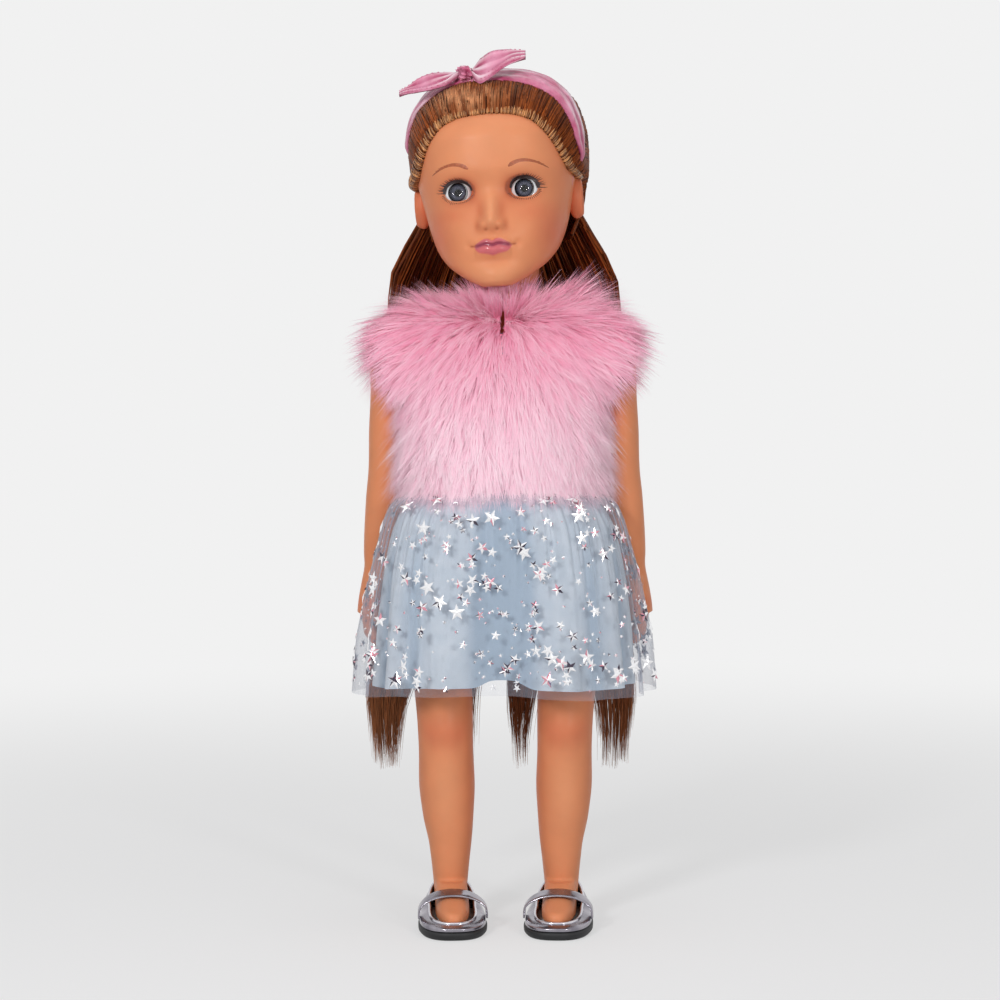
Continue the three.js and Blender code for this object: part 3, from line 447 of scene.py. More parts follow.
def shader(name, **sockets):
    """A new material: its tree and its main shader, with plain socket values set."""
    material = bpy.data.materials.new(name)
    material.use_nodes = True
    tree = material.node_tree
    main = tree.nodes["Principled BSDF"]
    for label, value in sockets.items():
        main.inputs[label.replace("_", " ")].default_value = value
    return material, tree, main


def feed(main, value, label="Base Color"):
    """Joins a value to an input of the main shader."""
    main.id_data.links.new(value, main.inputs[label])


def coordinates(tree, scale=(1, 1, 1)):
    """Object coordinates in metres, scaled."""
    where = add(tree, "ShaderNodeTexCoord").outputs["Object"]
    return add(tree, "ShaderNodeMapping", {"Vector": where, "Scale": scale}).outputs["Vector"]


def attribute(tree, name, output="Fac"):
    return add(tree, "ShaderNodeAttribute", attribute_name=name).outputs[output]


def maths(tree, operation, a, b=0.0):
    return add(tree, "ShaderNodeMath", {0: a, 1: b}, operation=operation).outputs[0]


def blended(tree, share, a, b, blend_type="MIX"):
    node = add(tree, "ShaderNodeMix", {0: share, 6: a, 7: b}, data_type="RGBA", blend_type=blend_type)
    return node.outputs[2]


def ranged(tree, value, low, high, to_low=0.0, to_high=1.0):
    return add(tree, "ShaderNodeMapRange", {0: value, 1: low, 2: high, 3: to_low, 4: to_high}).outputs[0]


def noise(tree, where, scale, detail, roughness=0.5):
    inputs = {"Vector": where, "Scale": scale, "Detail": detail, "Roughness": roughness}
    return add(tree, "ShaderNodeTexNoise", inputs).outputs["Fac"]


def cloud(tree, where, scale, detail=2, to_low=0.0, to_high=1.0):
    """Noise spread evenly between two values."""
    return ranged(tree, noise(tree, where, scale, detail), 0.3, 0.7, to_low, to_high)


def bumped(tree, main, height, distance, strength=1.0):
    """Fine relief, with its distance in millimetres."""
    inputs = {"Height": height, "Distance": distance * MM, "Strength": strength}
    feed(main, add(tree, "ShaderNodeBump", inputs).outputs["Normal"], "Normal")


def vinyl():
    """Painted soft vinyl: the paint comes from the piece, with a fine mottle and an eggshell skin."""
    material, tree, main = shader(
        "vinyl", Roughness=0.42, Specular_IOR_Level=0.18, Subsurface_Weight=0.12, Subsurface_Scale=0.004
    )
    main.inputs["Subsurface Radius"].default_value = (1.0, 0.45, 0.3)
    where = coordinates(tree)
    mottle = cloud(tree, where, 60, 3, 0.96, 1.03)
    feed(main, blended(tree, 1.0, attribute(tree, "paint", "Color"), mottle, "MULTIPLY"))
    feed(main, cloud(tree, where, 220, 3, 0.38, 0.5), "Roughness")
    bumped(tree, main, noise(tree, where, 1800, 2), 0.03, 0.4)
    return material


def lip_gloss():
    material, tree, main = shader(
        "lips", Roughness=0.25, Specular_IOR_Level=0.3, Coat_Weight=0.6, Coat_Roughness=0.08
    )
    feed(main, attribute(tree, "paint", "Color"))
    return material


def face_paint(name, colour, roughness=0.45):
    """Thin painted strokes: brows and lashes."""
    material, tree, main = shader(name, Roughness=roughness)
    shade = cloud(tree, coordinates(tree), 900, 2, 0.75, 1.15)
    feed(main, blended(tree, 1.0, rgb(*colour), shade, "MULTIPLY"))
    return material


def hair_fibre(name, dark, light, roughness=0.34, shine=0.14):
    """Combed nylon hair: strands differ in tone and streak along their length; gold is mixed in where marked.
    """
    material, tree, main = shader(name, Roughness=roughness, Anisotropic=0.5, Specular_IOR_Level=shine)
    tint = attribute(tree, "tint")
    colour = blended(tree, tint, rgb(*dark), rgb(*light))
    # Gold mixed in: a painted highlight on the crown, and more gold towards the long hair's ends
    colour = blended(tree, attribute(tree, "sheen"), colour, rgb(232, 166, 118))
    where = coordinates(tree, (300, 300, 40))
    streak = ranged(tree, noise(tree, where, 2, 3), 0.25, 0.75, 0.62, 1.25)
    feed(main, blended(tree, 1.0, colour, streak, "MULTIPLY"))
    bumped(tree, main, noise(tree, where, 5, 2), 0.08, 0.5)
    return material


def satin(name, colour, light, deep, weave, gloss, crush):
    """Polyester satin: fine weave and long shine, with painted shade in folds and painted highlight on
    crests.
    """
    material, tree, main = shader(name, Roughness=gloss, Sheen_Weight=0.04, Sheen_Roughness=0.4)
    where = coordinates(tree)
    patch = ranged(tree, noise(tree, where, 90, 2), 0.35, 0.65)
    shaded = blended(tree, patch, rgb(*colour), rgb(*light))
    # Painted shade: the deep colour is laid where the piece marks a crease
    shaded = blended(tree, attribute(tree, "crease"), shaded, rgb(*deep))
    # Painted highlight: near white is laid where the piece marks a crest
    feed(main, blended(tree, attribute(tree, "crest"), shaded, rgb(255, 238, 245)))
    inputs = {"Vector": where, "Scale": weave, "Distortion": 1.5}
    threads = add(tree, "ShaderNodeTexWave", inputs, bands_direction="Z").outputs["Fac"]
    crumple = maths(tree, "MULTIPLY", noise(tree, where, 150, 3, 0.45), crush)
    bumped(tree, main, maths(tree, "ADD", crumple, maths(tree, "MULTIPLY", threads, 0.02)), 1.0)
    return material


def cloth_place(tree):
    """Where a point lies on the piece's UV map: the place, and its two parts."""
    uv = add(tree, "ShaderNodeUVMap", uv_map="cloth").outputs["UV"]
    across, up, _ = add(tree, "ShaderNodeSeparateXYZ", {"Vector": uv}).outputs
    return uv, across, up


def tulle():
    """Fine see-through net: crossed threads with holes, denser where it is seen edge on."""
    material, tree, main = shader("tulle", Roughness=0.5, Sheen_Weight=0.3)
    main.inputs["Base Color"].default_value = rgb(192, 198, 214)
    _, across, up = cloth_place(tree)
    threads = []
    for slant in (1, -1):
        run = maths(tree, "ADD", across, maths(tree, "MULTIPLY", up, slant))
        wave = maths(tree, "SINE", maths(tree, "MULTIPLY", run, TAU / NET_SPACING))
        threads.append(ranged(tree, wave, 0.4, 1.0))
    net = maths(tree, "MAXIMUM", *threads)
    facing = add(tree, "ShaderNodeLayerWeight", {"Blend": 0.4}).outputs["Facing"]
    cover = maths(tree, "MULTIPLY", net, 0.18)
    cover = maths(tree, "ADD", cover, maths(tree, "MULTIPLY", facing, 0.45))
    feed(main, maths(tree, "MINIMUM", maths(tree, "ADD", cover, 0.08), 0.8), "Alpha")
    return material


def foil():
    """Holographic foil: stars pressed into facets, mostly bright, with painted dark and pink reflections."""
    material, tree, main = shader("foil", Metallic=0.85, Roughness=0.2)
    facet = maths(tree, "MULTIPLY", attribute(tree, "facet"), 0.6)
    shift = maths(tree, "FRACT", maths(tree, "ADD", facet, attribute(tree, "tint")))
    # Painted reflections: one share of the facets is laid dark and another share pink
    dark = ranged(tree, shift, 0.15, 0.13)
    pink = ranged(tree, shift, 0.27, 0.25)
    colour = blended(tree, pink, rgb(250, 250, 252), rgb(228, 160, 174))
    feed(main, blended(tree, dark, colour, rgb(84, 76, 90)))
    bumped(tree, main, noise(tree, coordinates(tree), 420, 2), 0.4, 0.5)
    return material


def fur():
    """Long pile: each strand is rosier at its root and paler at its tip, and no two are alike. Light
    passes between the hairs of a strand, so its shadow is a thin one."""
    material, tree, main = shader("fur", Roughness=0.6, Sheen_Weight=0.4, Sheen_Roughness=0.5)
    tip, tint, fade = (attribute(tree, name) for name in ("tip", "tint", "fade"))
    # The deeper rose at the roots is partly the fur's own colour and partly painted shade deep in the pile
    root = blended(tree, fade, rgb(238, 136, 172), rgb(248, 190, 212))
    rose = blended(tree, tint, rgb(246, 176, 204), rgb(253, 216, 230))
    pale = blended(tree, tint, rgb(252, 222, 234), rgb(255, 242, 247))
    end = blended(tree, fade, rose, pale)
    feed(main, blended(tree, maths(tree, "POWER", tip, 0.7), root, end))
    shadow = add(tree, "ShaderNodeLightPath").outputs["Is Shadow Ray"]
    feed(main, ranged(tree, shadow, 0.0, 1.0, 1.0, 0.3), "Alpha")
    return material


def iris_print():
    """A printed iris: grey-blue spokes inside a darker rim, round a black pupil."""
    material, tree, main = shader("iris", Roughness=0.5, Specular_IOR_Level=0.05)
    uv, across, up = cloth_place(tree)
    radius = add(tree, "ShaderNodeVectorMath", {0: uv}, operation="LENGTH").outputs["Value"]
    angle = maths(tree, "MULTIPLY", maths(tree, "ARCTAN2", up, across), 6.0)
    spoke_at = add(tree, "ShaderNodeCombineXYZ", {"X": angle, "Y": radius}).outputs[0]
    spokes = ranged(tree, noise(tree, spoke_at, 3.0, 3), 0.35, 0.65)
    colour = blended(tree, spokes, rgb(46, 48, 60), rgb(108, 110, 128))
    colour = blended(tree, ranged(tree, radius, 0.62, 0.9), colour, rgb(16, 16, 24))
    inner = ranged(tree, radius, 0.56, 0.3)
    colour = blended(tree, maths(tree, "MULTIPLY", inner, 0.6), colour, rgb(26, 27, 40))
    feed(main, blended(tree, ranged(tree, radius, 0.4, 0.35), colour, rgb(2, 2, 3)))
    return material


def clear_dome():
    """The clear front of an eye: see-through, with a sharp shine."""
    material = bpy.data.materials.new("clear_dome")
    material.use_nodes = True
    tree = material.node_tree
    tree.nodes.remove(tree.nodes["Principled BSDF"])
    glass = add(tree, "ShaderNodeBsdfTransparent").outputs[0]
    shine = add(tree, "ShaderNodeBsdfGlossy", {"Roughness": 0.03}).outputs[0]
    fresnel = add(tree, "ShaderNodeFresnel", {"IOR": 1.38}).outputs[0]
    both = add(tree, "ShaderNodeMixShader", {0: fresnel, 1: glass, 2: shine}).outputs[0]
    tree.links.new(both, tree.nodes["Material Output"].inputs["Surface"])
    return material


def silver(name, dark, light):
    """Silver-coated leathercloth: bright, with a fine grain and faint scuffs."""
    material, tree, main = shader(name, Metallic=0.94, Roughness=0.2)
    where = coordinates(tree)
    feed(main, ranged(tree, noise(tree, where, 120, 4), 0.35, 0.7, 0.13, 0.32), "Roughness")
    feed(main, blended(tree, cloud(tree, where, 90), rgb(*dark), rgb(*light)))
    grain = add(tree, "ShaderNodeTexVoronoi", {"Vector": where, "Scale": 900.0}).outputs["Distance"]
    bumped(tree, main, grain, 0.05, 0.25)
    return material


def mottled(name, colour, light, scale, detail=2, **sockets):
    """A new material that drifts softly between two colours."""
    material, tree, main = shader(name, **sockets)
    feed(main, blended(tree, cloud(tree, coordinates(tree), scale, detail), rgb(*colour), rgb(*light)))
    return material, tree, main


def plain(name, colour, light, roughness, scale=300, depth=0.04):
    """A quiet finish with a soft mottle and a fine grain."""
    material, tree, main = mottled(name, colour, light, scale, 3, Roughness=roughness)
    bumped(tree, main, noise(tree, coordinates(tree), scale * 4, 2), depth, 0.5)
    return material


VINYL = vinyl()
BROW = face_paint("brow_paint", (178, 94, 58))
LASH = face_paint("lash_paint", (52, 34, 34), 0.3)
LOWER_LASH = face_paint("lower_lash_paint", (84, 44, 36))
HAIR = hair_fibre("hair", (68, 25, 9), (172, 88, 38), 0.42)
# Painted highlight: the roots along the hairline are a paler, golden copy of the hair's brown, and shinier
HAIR_ROOTS_HIGHLIGHT = hair_fibre("hair_roots", (100, 48, 22), (242, 172, 110), 0.24, 0.3)
HAIR_BASE = hair_fibre("hair_base", (54, 26, 14), (84, 44, 24), 0.85)
SATIN_PINK = satin("satin_pink", (210, 82, 128), (242, 156, 188), (130, 26, 66), 2600, 0.22, 1.8)
SATIN_BLUE = satin("satin_blue", (210, 222, 233), (222, 231, 240), (180, 200, 218), 2200, 0.4, 0.3)
TULLE = tulle()
FOIL = foil()
FUR = fur()
BACKING = mottled("fur_backing", (226, 124, 158), (240, 160, 188), 700, Roughness=0.9, Sheen_Weight=0.5)[0]
EYE_SHELL = mottled(
    "eye_shell", (236, 238, 242), (248, 248, 250), 200, Roughness=0.12, Coat_Weight=0.8, Coat_Roughness=0.04
)[0]
IRIS = iris_print()
CLEAR = clear_dome()
SILVER = silver("silver", (128, 124, 134), (176, 172, 180))
# Painted highlight: the piping is a paler copy of the shoe's silver, for the bright line along the edge
PIPING_HIGHLIGHT = silver("silver_piping", (196, 194, 202), (224, 222, 228))
BLACK_SOLE = plain("black_sole", (16, 16, 18), (30, 30, 33), 0.62, 240)
LINER = plain("shoe_liner", (214, 212, 210), (236, 234, 232), 0.85, 500)
STITCH = plain("stitching", (196, 84, 124), (236, 168, 194), 0.7, 900)
PLUG = plain("joint_plastic", (214, 200, 182), (232, 220, 204), 0.5)
NECK_PLUG = plain("neck_plastic", (200, 118, 80), (218, 136, 96), 0.5)
TAPE = plain("tape", (228, 228, 228), (244, 244, 244), 0.9, 900, 0.15)

SKIN = np.array(rgb(234, 150, 106))
BLUSH = np.array(rgb(222, 92, 70))
SHADE = np.array(rgb(196, 92, 62))
# Painted highlight: a paler skin laid where light falls on the nose, chin, forehead and shins
PAINTED_HIGHLIGHT = np.array(rgb(240, 164, 120))
LIP = np.array(rgb(214, 92, 110))
LIP_PALE = np.array(rgb(204, 98, 106))
LIP_LINE = np.array(rgb(136, 24, 66))


def paint(obj, *layers):
    """Paints bare skin: each layer is a colour and its share at each point."""
    colours = np.tile(SKIN, (len(obj.data.vertices), 1))
    for colour, share in layers:
        colours += (colour - colours) * np.clip(share, 0, 1)[:, None]
    colours[:, 3] = 1
    layer = obj.data.color_attributes.new("paint", "FLOAT_COLOR", "POINT")
    layer.data.foreach_set("color", colours.astype(np.float32).ravel())


# Head
head_curve = through([
    [CHIN_SHARE, 7.5, -38, -25, -31],
    [0.04, 12.4, -40.5, -19, -28],
    [0.078, 19.6, -41, -8, -22],
    [0.132, 26.9, -41, 8, -14],
    [0.195, 32, -41.3, 20, -6],
    [0.271, 35.4, -41.5, 32, 0],
    [0.356, 38, -40.5, 42, 3],
    [0.441, 40.3, -39.5, 48, 5],
    [0.551, 42.6, -41.8, 53, 5],
    [0.678, 43.6, -41.5, 55, 5],
    [0.805, 41, -34.5, 51, 5],
    [0.89, 35, -24, 42, 6],
    [0.949, 26, -12, 29, 7],
    [0.983, 14, -1, 17, 7.5],
    [1, 4, 5, 10.5, 7.8],
])
HEAD_FRAME = (
    Matrix.Translation(NECK)
    @ Matrix.Rotation(math.radians(HEAD_ROLL), 4, "Y")
    @ Matrix.Rotation(math.radians(HEAD_TURN), 4, "Z")
)


def head_rows(h):
    """Half width, front, back and widest place of the head at a height above the chin."""
    return np.moveaxis(head_curve(np.asarray(h, float) / HEAD_H), -1, 0)


def on_doll(points):
    """Points of the head's own frame, placed on the doll."""
    return points @ np.array(HEAD_FRAME.to_3x3()).T + np.array(HEAD_FRAME.translation)


def head_local(obj):
    """The object's points in the head's own frame."""
    return (points_of(obj) - np.array(HEAD_FRAME.translation)) @ np.array(HEAD_FRAME.to_3x3())


def mouth_line(x):
    """The height of the line between the lips: a dip at the middle, then down, and up at the corners."""
    wide = np.abs(x)
    bow = 0.4 * bump(wide - 3.6, 2.6) - 0.3 * bump(x, 1.4)
    return MOUTH_H + bow - 0.5 * smooth(wide, 4, 9) + 0.3 * smooth(wide, 9, MOUTH_HALF)


def lip_share(x):
    """1 at the middle of the mouth, 0 where the full lips end."""
    return np.clip(1 - (np.abs(x) / LIP_HALF) ** 2.3, 0, 1) ** 0.7


def relief(x, h):
    """How far the face stands out from the plain oval."""
    wide = np.abs(x)
    tip = 5.6 * bump(x, 4.6) * bump(h - NOSE_H, 4.8)
    wings = 2.1 * bump(wide - 5.0, 2.2) * bump(h - NOSE_H + 2.2, 2.5)
    bridge = 2.6 * bump(x, 3.6) * bump(h - NOSE_H - 8, 6.5)
    nostrils = -0.8 * bump(wide - 2.8, 1.2) * bump(h - NOSE_H + 4.6, 1.1)
    line = mouth_line(x)
    upper = 1.5 * lip_share(x) * bump(h - line - 1.4, 1.6)
    lower = 2.2 * lip_share(x) * bump(h - line + 2.8, 2.7)
    muzzle = 1.5 * bump(x, 13) * bump(h - MOUTH_H, 8)
    groove = -1.0 * lip_share(x) ** 0.5 * bump(h - line, 0.55)
    groove = groove - 0.5 * bump(h - line, 0.7) * smooth(wide, 7, 9) * (1 - smooth(wide, 11, 13.5))
    dimples = -0.7 * bump(wide - MOUTH_HALF - 0.4, 1.8) * bump(h - MOUTH_H, 2.2)
    philtrum = -0.45 * bump(x, 1.3) * bump(h - MOUTH_H - 6, 2.6)
    chin = 1.9 * bump(x, 8.5) * bump(h - 7.5, 5.2) - 0.7 * bump(x, 10) * bump(h - 14.6, 2.2)
    cheeks = 1.8 * bump(wide - 21, 9) * bump(h - 29, 9)
    sockets = -2.3 * bump(wide - 14.8, 8) * bump(h - EYE_H, 7)
    fold = -0.35 * bump(h - EYE_H - 6.6 + 0.05 * (wide - EYE_X) ** 2, 0.7) * bump(wide - EYE_X, 7)
    brow = 0.7 * bump(wide - EYE_X, 12) * bump(h - EYE_H - 12, 5)
    nose = tip + wings + bridge + nostrils
    mouth = upper + lower + muzzle + groove + dimples + philtrum
    return nose + mouth + chin + cheeks + sockets + fold + brow


def oval_front(x, h):
    """The plain oval's y in front, in the head's frame."""
    half, front, _, mid = head_rows(h)
    share = np.clip(1 - (np.abs(x) / half) ** HEAD_POWER, 0, 1) ** (1 / HEAD_POWER)
    return mid + (front - mid) * share - NECK.y


EYE_Z = EYE_H - CHIN_DROP
EYE_Y = float(oval_front(EYE_X, EYE_H)) + 1.4 + EYE_RECESS + EYE_R


def hugged(x, y, h):
    """The skin's y with the lids drawn onto the eyeballs."""
    for side in SIDES:
        dx, dz = x - side * EYE_X, h - EYE_H
        reach = np.hypot(dx / LID_HALF, dz / np.where(dz > 0, LID_UP, LID_DOWN))
        off = np.minimum(np.hypot(dx, dz), EYE_R - 0.3)
        eyeball = EYE_Y - np.sqrt(EYE_R**2 - off**2) - 0.55
        y = mix(y, eyeball, 1 - smooth(reach, 1.0, 1.42))
    return y


def face_y(x, h):
    """The finished face's y in front."""
    return hugged(x, oval_front(x, h) - relief(x, h), h)


def head_points(h, turn, grow=0.0):
    """Points of the head's skin. turn 0 is the front, and grow lifts a plain copy off it."""
    half, front, back, mid = head_rows(h)
    ahead = np.cos(turn)
    x = (half + grow) * signed_power(np.sin(turn), 2 / HEAD_POWER)
    reach = np.where(ahead > 0, front - mid - grow, back - mid + grow)
    y = mid + reach * np.abs(ahead) ** (2 / HEAD_POWER) - NECK.y
    if not grow:
        y = np.where(ahead > 0, hugged(x, y - relief(x, h) * smooth(ahead, 0.1, 0.5), h), y)
    return stacked(x, y, h - CHIN_DROP)


def face_turns(count, evenness):
    """Turns that are closer together over the face than round the back."""
    share = -1 + 2 * np.arange(count) / count
    return math.pi * share * (evenness + (1 - evenness) * np.abs(share))


def lid_edge(angle):
    """The eye opening's edge, as x and height from its middle."""
    rise = np.where(np.sin(angle) > 0, LID_UP, LID_DOWN) * signed_power(np.sin(angle), 0.92)
    return LID_HALF * signed_power(np.cos(angle), 0.97), rise


def eye_patch(grid, heights, side):
    """The skin round one eye: rings from a gap in the head's grid in to the lids, then round the eyeball."""
    front = len(grid[0]) // 2
    middle_row = grid[np.argmin(np.abs(heights - EYE_H))]
    near = np.arange(front - 90, front + 91)
    inside = near[np.abs(middle_row[near, 0] - side * EYE_X) < LID_HALF * 1.75]
    tall = np.flatnonzero(np.abs(heights - EYE_H) < LID_UP * 2.1)
    i0, i1, j0, j1 = tall[0], tall[-1], inside[0], inside[-1]
    loop = [(i0, j) for j in range(j0, j1)] + [(i, j1) for i in range(i0, i1)]
    loop += [(i1, j) for j in range(j1, j0, -1)] + [(i, j0) for i in range(i1, i0, -1)]
    edge = np.array([grid[i, j] for i, j in loop])
    dx, dz = edge[:, 0] - side * EYE_X, edge[:, 2] - EYE_Z
    angle = np.arctan2(dz / np.abs(dz).max(), dx / np.abs(dx).max())
    lid_x, lid_z = lid_edge(angle)
    rings = []
    for share in np.linspace(0, 1, 19)[1:]:
        x = mix(dx, lid_x, share) + side * EYE_X
        z = mix(dz, lid_z, share)
        rings.append(stacked(x, face_y(x, z + EYE_H), z + EYE_Z))
    centre = np.array((side * EYE_X, EYE_Y, EYE_Z))
    inward = unit(rings[-1] - centre)
    start = np.arccos(-inward[:, 1])
    around = np.arctan2(inward[:, 2], inward[:, 0])
    rings.append(centre + (EYE_R + 0.42) * inward)
    for share in np.linspace(0, 1, 9)[1:-1]:
        tilt = mix(start, math.pi, share)
        out = stacked(np.sin(tilt) * np.cos(around), -np.cos(tilt), np.sin(tilt) * np.sin(around))
        rings.append(centre + (EYE_R + 0.3) * out)
    return (i0, i1, j0, j1), loop, np.array(rings), centre + np.array((0, EYE_R + 0.3, 0))


def paint_face(obj, points):
    """Paint for the head: blush, lips, painted shade in the sockets and painted highlight on the nose and
    chin.
    """
    x, y = points[:, 0], points[:, 1]
    h = points[:, 2] + CHIN_DROP
    wide, ahead = np.abs(x), smooth(-y, -6, 10)
    line = mouth_line(x)
    share = lip_share(x)
    top = line + 2.9 * share - 0.6 * bump(x, 1.3)
    bottom = line - 5.4 * share**0.8
    full = (wide < LIP_HALF) * ahead
    lips = smooth(h, bottom - 0.6, bottom + 0.6) * (1 - smooth(h, top - 0.6, top + 0.4)) * full
    upper = lips * smooth(h, line, line + 0.6)
    parted = bump(h - line, 1.0) * smooth(-wide, -LIP_HALF - 0.3, -LIP_HALF + 1.5) * ahead
    corner = bump(h - line, 0.5) * smooth(wide, LIP_HALF - 2, LIP_HALF) * (1 - smooth(wide, 11, MOUTH_HALF))
    ring = np.hypot((wide - EYE_X) / 1.35, h - EYE_H)
    inner_corner = bump(wide - 9.6, 3.6) * bump(h - EYE_H + 2, 6.5)
    lid = bump(ring - 6.1, 2.2) * (0.45 + 0.35 * smooth(h, EYE_H, EYE_H + 4))
    nose_side = 0.62 * bump(wide - 5.6, 2.4) * bump(h - 41.5, 6)
    wing = 0.5 * bump(wide - 7.6, 1.5) * bump(h - NOSE_H + 2.6, 3)
    under_nose = 0.3 * bump(x, 6) * bump(h - NOSE_H + 5.4, 1.8)
    nostril = 0.5 * bump(wide - 2.9, 1.0) * bump(h - NOSE_H + 4.5, 0.7)
    cheeks = 0.45 * bump(wide - 32, 9) * bump(h - 28, 13)
    # Painted shade on the outer sides of the face, laid in the blush colour
    temple_shade = 0.12 * smooth(wide, 26, 38) * smooth(h, 30, 60)
    under_lip = 0.34 * bump(x, 7) * bump(h - 15.6, 1.8)
    # Painted highlight on the chin and down the nose; more is laid on the forehead below
    bright = 0.6 * bump(x, 12) * bump(h - 9, 8) + 0.75 * bump(x, 2.8) * bump(h - NOSE_H - 5, 10)
    paint(
        obj,
        (PAINTED_HIGHLIGHT, (bright + 0.5 * bump(x, 20) * bump(h - 76, 13)) * ahead),
        (BLUSH, (cheeks + temple_shade + 0.2 * bump(wide - 20, 10) * bump(h - 40, 5)) * ahead),
        (SHADE, (lid + 0.6 * inner_corner + nose_side + wing + under_nose + under_lip) * 0.7 * ahead),
        (SHADE * 0.45, nostril * ahead),
        (LIP, lips * 0.85),
        (LIP_PALE, upper * 0.5),
        (LIP_LINE, parted * 0.92),
        (SHADE * 0.6, corner * 0.8),
    )


def mark_lips(obj, local):
    """The lips' faces take the glossy paint."""
    x, h = local[:, 0], local[:, 2] + CHIN_DROP
    line, share = mouth_line(x), lip_share(x)
    inside = (h < line + 2.7 * share) & (h > line - 5.2 * share**0.8)
    inside &= (np.abs(x) < LIP_HALF) & (local[:, 1] < -20)
    for polygon in obj.data.polygons:
        if inside[polygon.vertices[0]]:
            polygon.material_index = 1


def ear(name, side):
    """An ear with a raised rim round a hollow."""
    points, faces = ball(48, 32)
    x, y, z = points.T
    rim = 0.3 * bump(np.hypot(y, z) - 0.8, 0.16)
    hollow = -1.0 * bump(np.hypot(y + 0.05, (z - 0.05) * 0.9), 0.42)
    outward = np.where(x > 0, x + (rim + hollow) * smooth(x, 0.0, 0.4), x)
    y = y * (1 - 0.22 * smooth(-z, 0, 1)) - 0.12 * z
    points = stacked(side * (41 + 4.4 * outward), 2 + 6.6 * y, 35.6 + 11 * z)
    obj = piece(name, (on_doll(points), faces), VINYL, "head", "vinyl_skin")
    depth = bump(np.hypot(y + 0.05, z - 0.05), 0.45) * smooth(x, 0, 0.5)
    paint(obj, (BLUSH, 0.35 + 0 * x), (SHADE, 0.7 * depth), (SHADE * 0.6, 0.5 * depth**3))


def head():
    """The head, its lids drawn round the eyeballs, and its ears."""
    columns, rows = 260, 196
    heights = np.linspace(CHIN_SHARE * HEAD_H + 0.01, HEAD_H - 0.02, rows)
    grid = head_points(heights[:, None], face_turns(columns, 0.45))
    points, faces = loft(grid)
    keep = np.ones((rows - 1, columns), bool)
    patches = []
    for side in SIDES:
        (i0, i1, j0, j1), loop, rings, back = eye_patch(grid, heights, side)
        keep[i0:i1, j0:j1] = False
        hub = len(points) + rings.size // 3
        outer = [i * columns + j for i, j in loop]
        index = np.vstack([outer, np.arange(len(points), hub).reshape(-1, len(loop))])
        after = np.roll(index, -1, axis=1)
        quads = np.stack([index[:-1], after[:-1], after[1:], index[1:]], axis=-1)
        patches += quads.reshape(-1, 4).tolist()
        patches += [[a, b, hub] for a, b in zip(index[-1].tolist(), after[-1].tolist())]
        points = np.vstack([points, rings.reshape(-1, 3), back])
    kept = [face for face, stays in zip(faces, keep.ravel()) if stays] + faces[keep.size:]
    obj = make("head", (on_doll(points), kept + patches), VINYL)
    reshaped(obj, drop_loose)
    local = head_local(obj)
    paint_face(obj, local)
    obj.data.materials.append(lip_gloss())
    mark_lips(obj, local)
    ride(obj, "head", "vinyl_skin", "head_shell")
    for side, name in SIDES.items():
        ear(f"ear_{name}", side)


# Eyes
def eye_place(side, rings):
    """Rings of an eye part, whose axis is its depth behind the eyeball's front, placed on the doll."""
    x, z, depth = np.moveaxis(rings, -1, 0)
    return on_doll(stacked(side * EYE_X + x, EYE_Y - EYE_R + depth, EYE_Z + z))


def arc_depth(radius):
    return EYE_R - np.sqrt(EYE_R**2 - radius**2)


def eyes():
    """Each eye: a white round a hollow, a printed disc at its floor and a clear dome over it."""
    floor = arc_depth(IRIS_R) + 1.0
    rim = IRIS_R + 0.12
    white = [[0.01, floor + 1.1], [rim, floor + 1.1], [rim, arc_depth(IRIS_R) + 0.1]]
    white += [[r, arc_depth(r)] for r in np.linspace(IRIS_R + 0.3, EYE_R - 0.02, 16)]
    bulge = math.pi / 2 * np.linspace(0.08, 0.995, 10)
    white += [[EYE_R * math.cos(a), EYE_R + EYE_R * math.sin(a)] for a in bulge]
    disc = [[IRIS_R, floor + 0.7]]
    disc += [[r, floor - 0.25 * (r / IRIS_R) ** 2] for r in np.linspace(IRIS_R, 0.02, 14)]
    dome = [[0.01, floor - 0.45], [IRIS_R, floor - 0.45]]
    dome += [[r, arc_depth(r) - 0.62 * (1 - (r / IRIS_R) ** 2)] for r in np.linspace(IRIS_R, 0.01, 16)]
    parts = (
        ("eyeball", white, EYE_SHELL, "eye_white", "eye_white"),
        ("iris", disc, IRIS, "eye_iris", "eye_iris"),
        ("cornea", dome, CLEAR, "eye_clear", "eye_cornea"),
    )
    for side, name in SIDES.items():
        for kind, profile, material, slot, node in parts:
            skin = loft(eye_place(side, turned(profile, 64)))
            obj = piece(f"{kind}_{name}", skin, material, "head", slot, f"{node}_{name}")
            if material == IRIS:
                write_uv(obj, (head_local(obj)[:, [0, 2]] - (side * EYE_X, EYE_Z)) / IRIS_R)


# Brows and lashes are strokes laid on the skin
def stroke(path, widths, lift=0.14):
    """A thin raised strip along [x, height] points of the face."""
    path, widths = np.array(path, float), np.array(widths, float)[:, None]
    along = unit(np.gradient(path, axis=0))
    across = stacked(-along[:, 1], along[:, 0]) * widths / 2
    rows = []
    for share, rise in ((-1, 0.3), (0, 1), (1, 0.3)):
        x, h = (path + share * across).T
        rows.append(stacked(x, face_y(x, h) - lift * rise, h - CHIN_DROP))
    return on_doll(np.vstack(rows)), grid_faces(3, len(path), closed=False)


def curved(start, control, end, count):
    t = np.linspace(0, 1, count)[:, None]
    start, control, end = (np.array(p, float) for p in (start, control, end))
    return (1 - t) ** 2 * start + 2 * t * (1 - t) * control + t * t * end


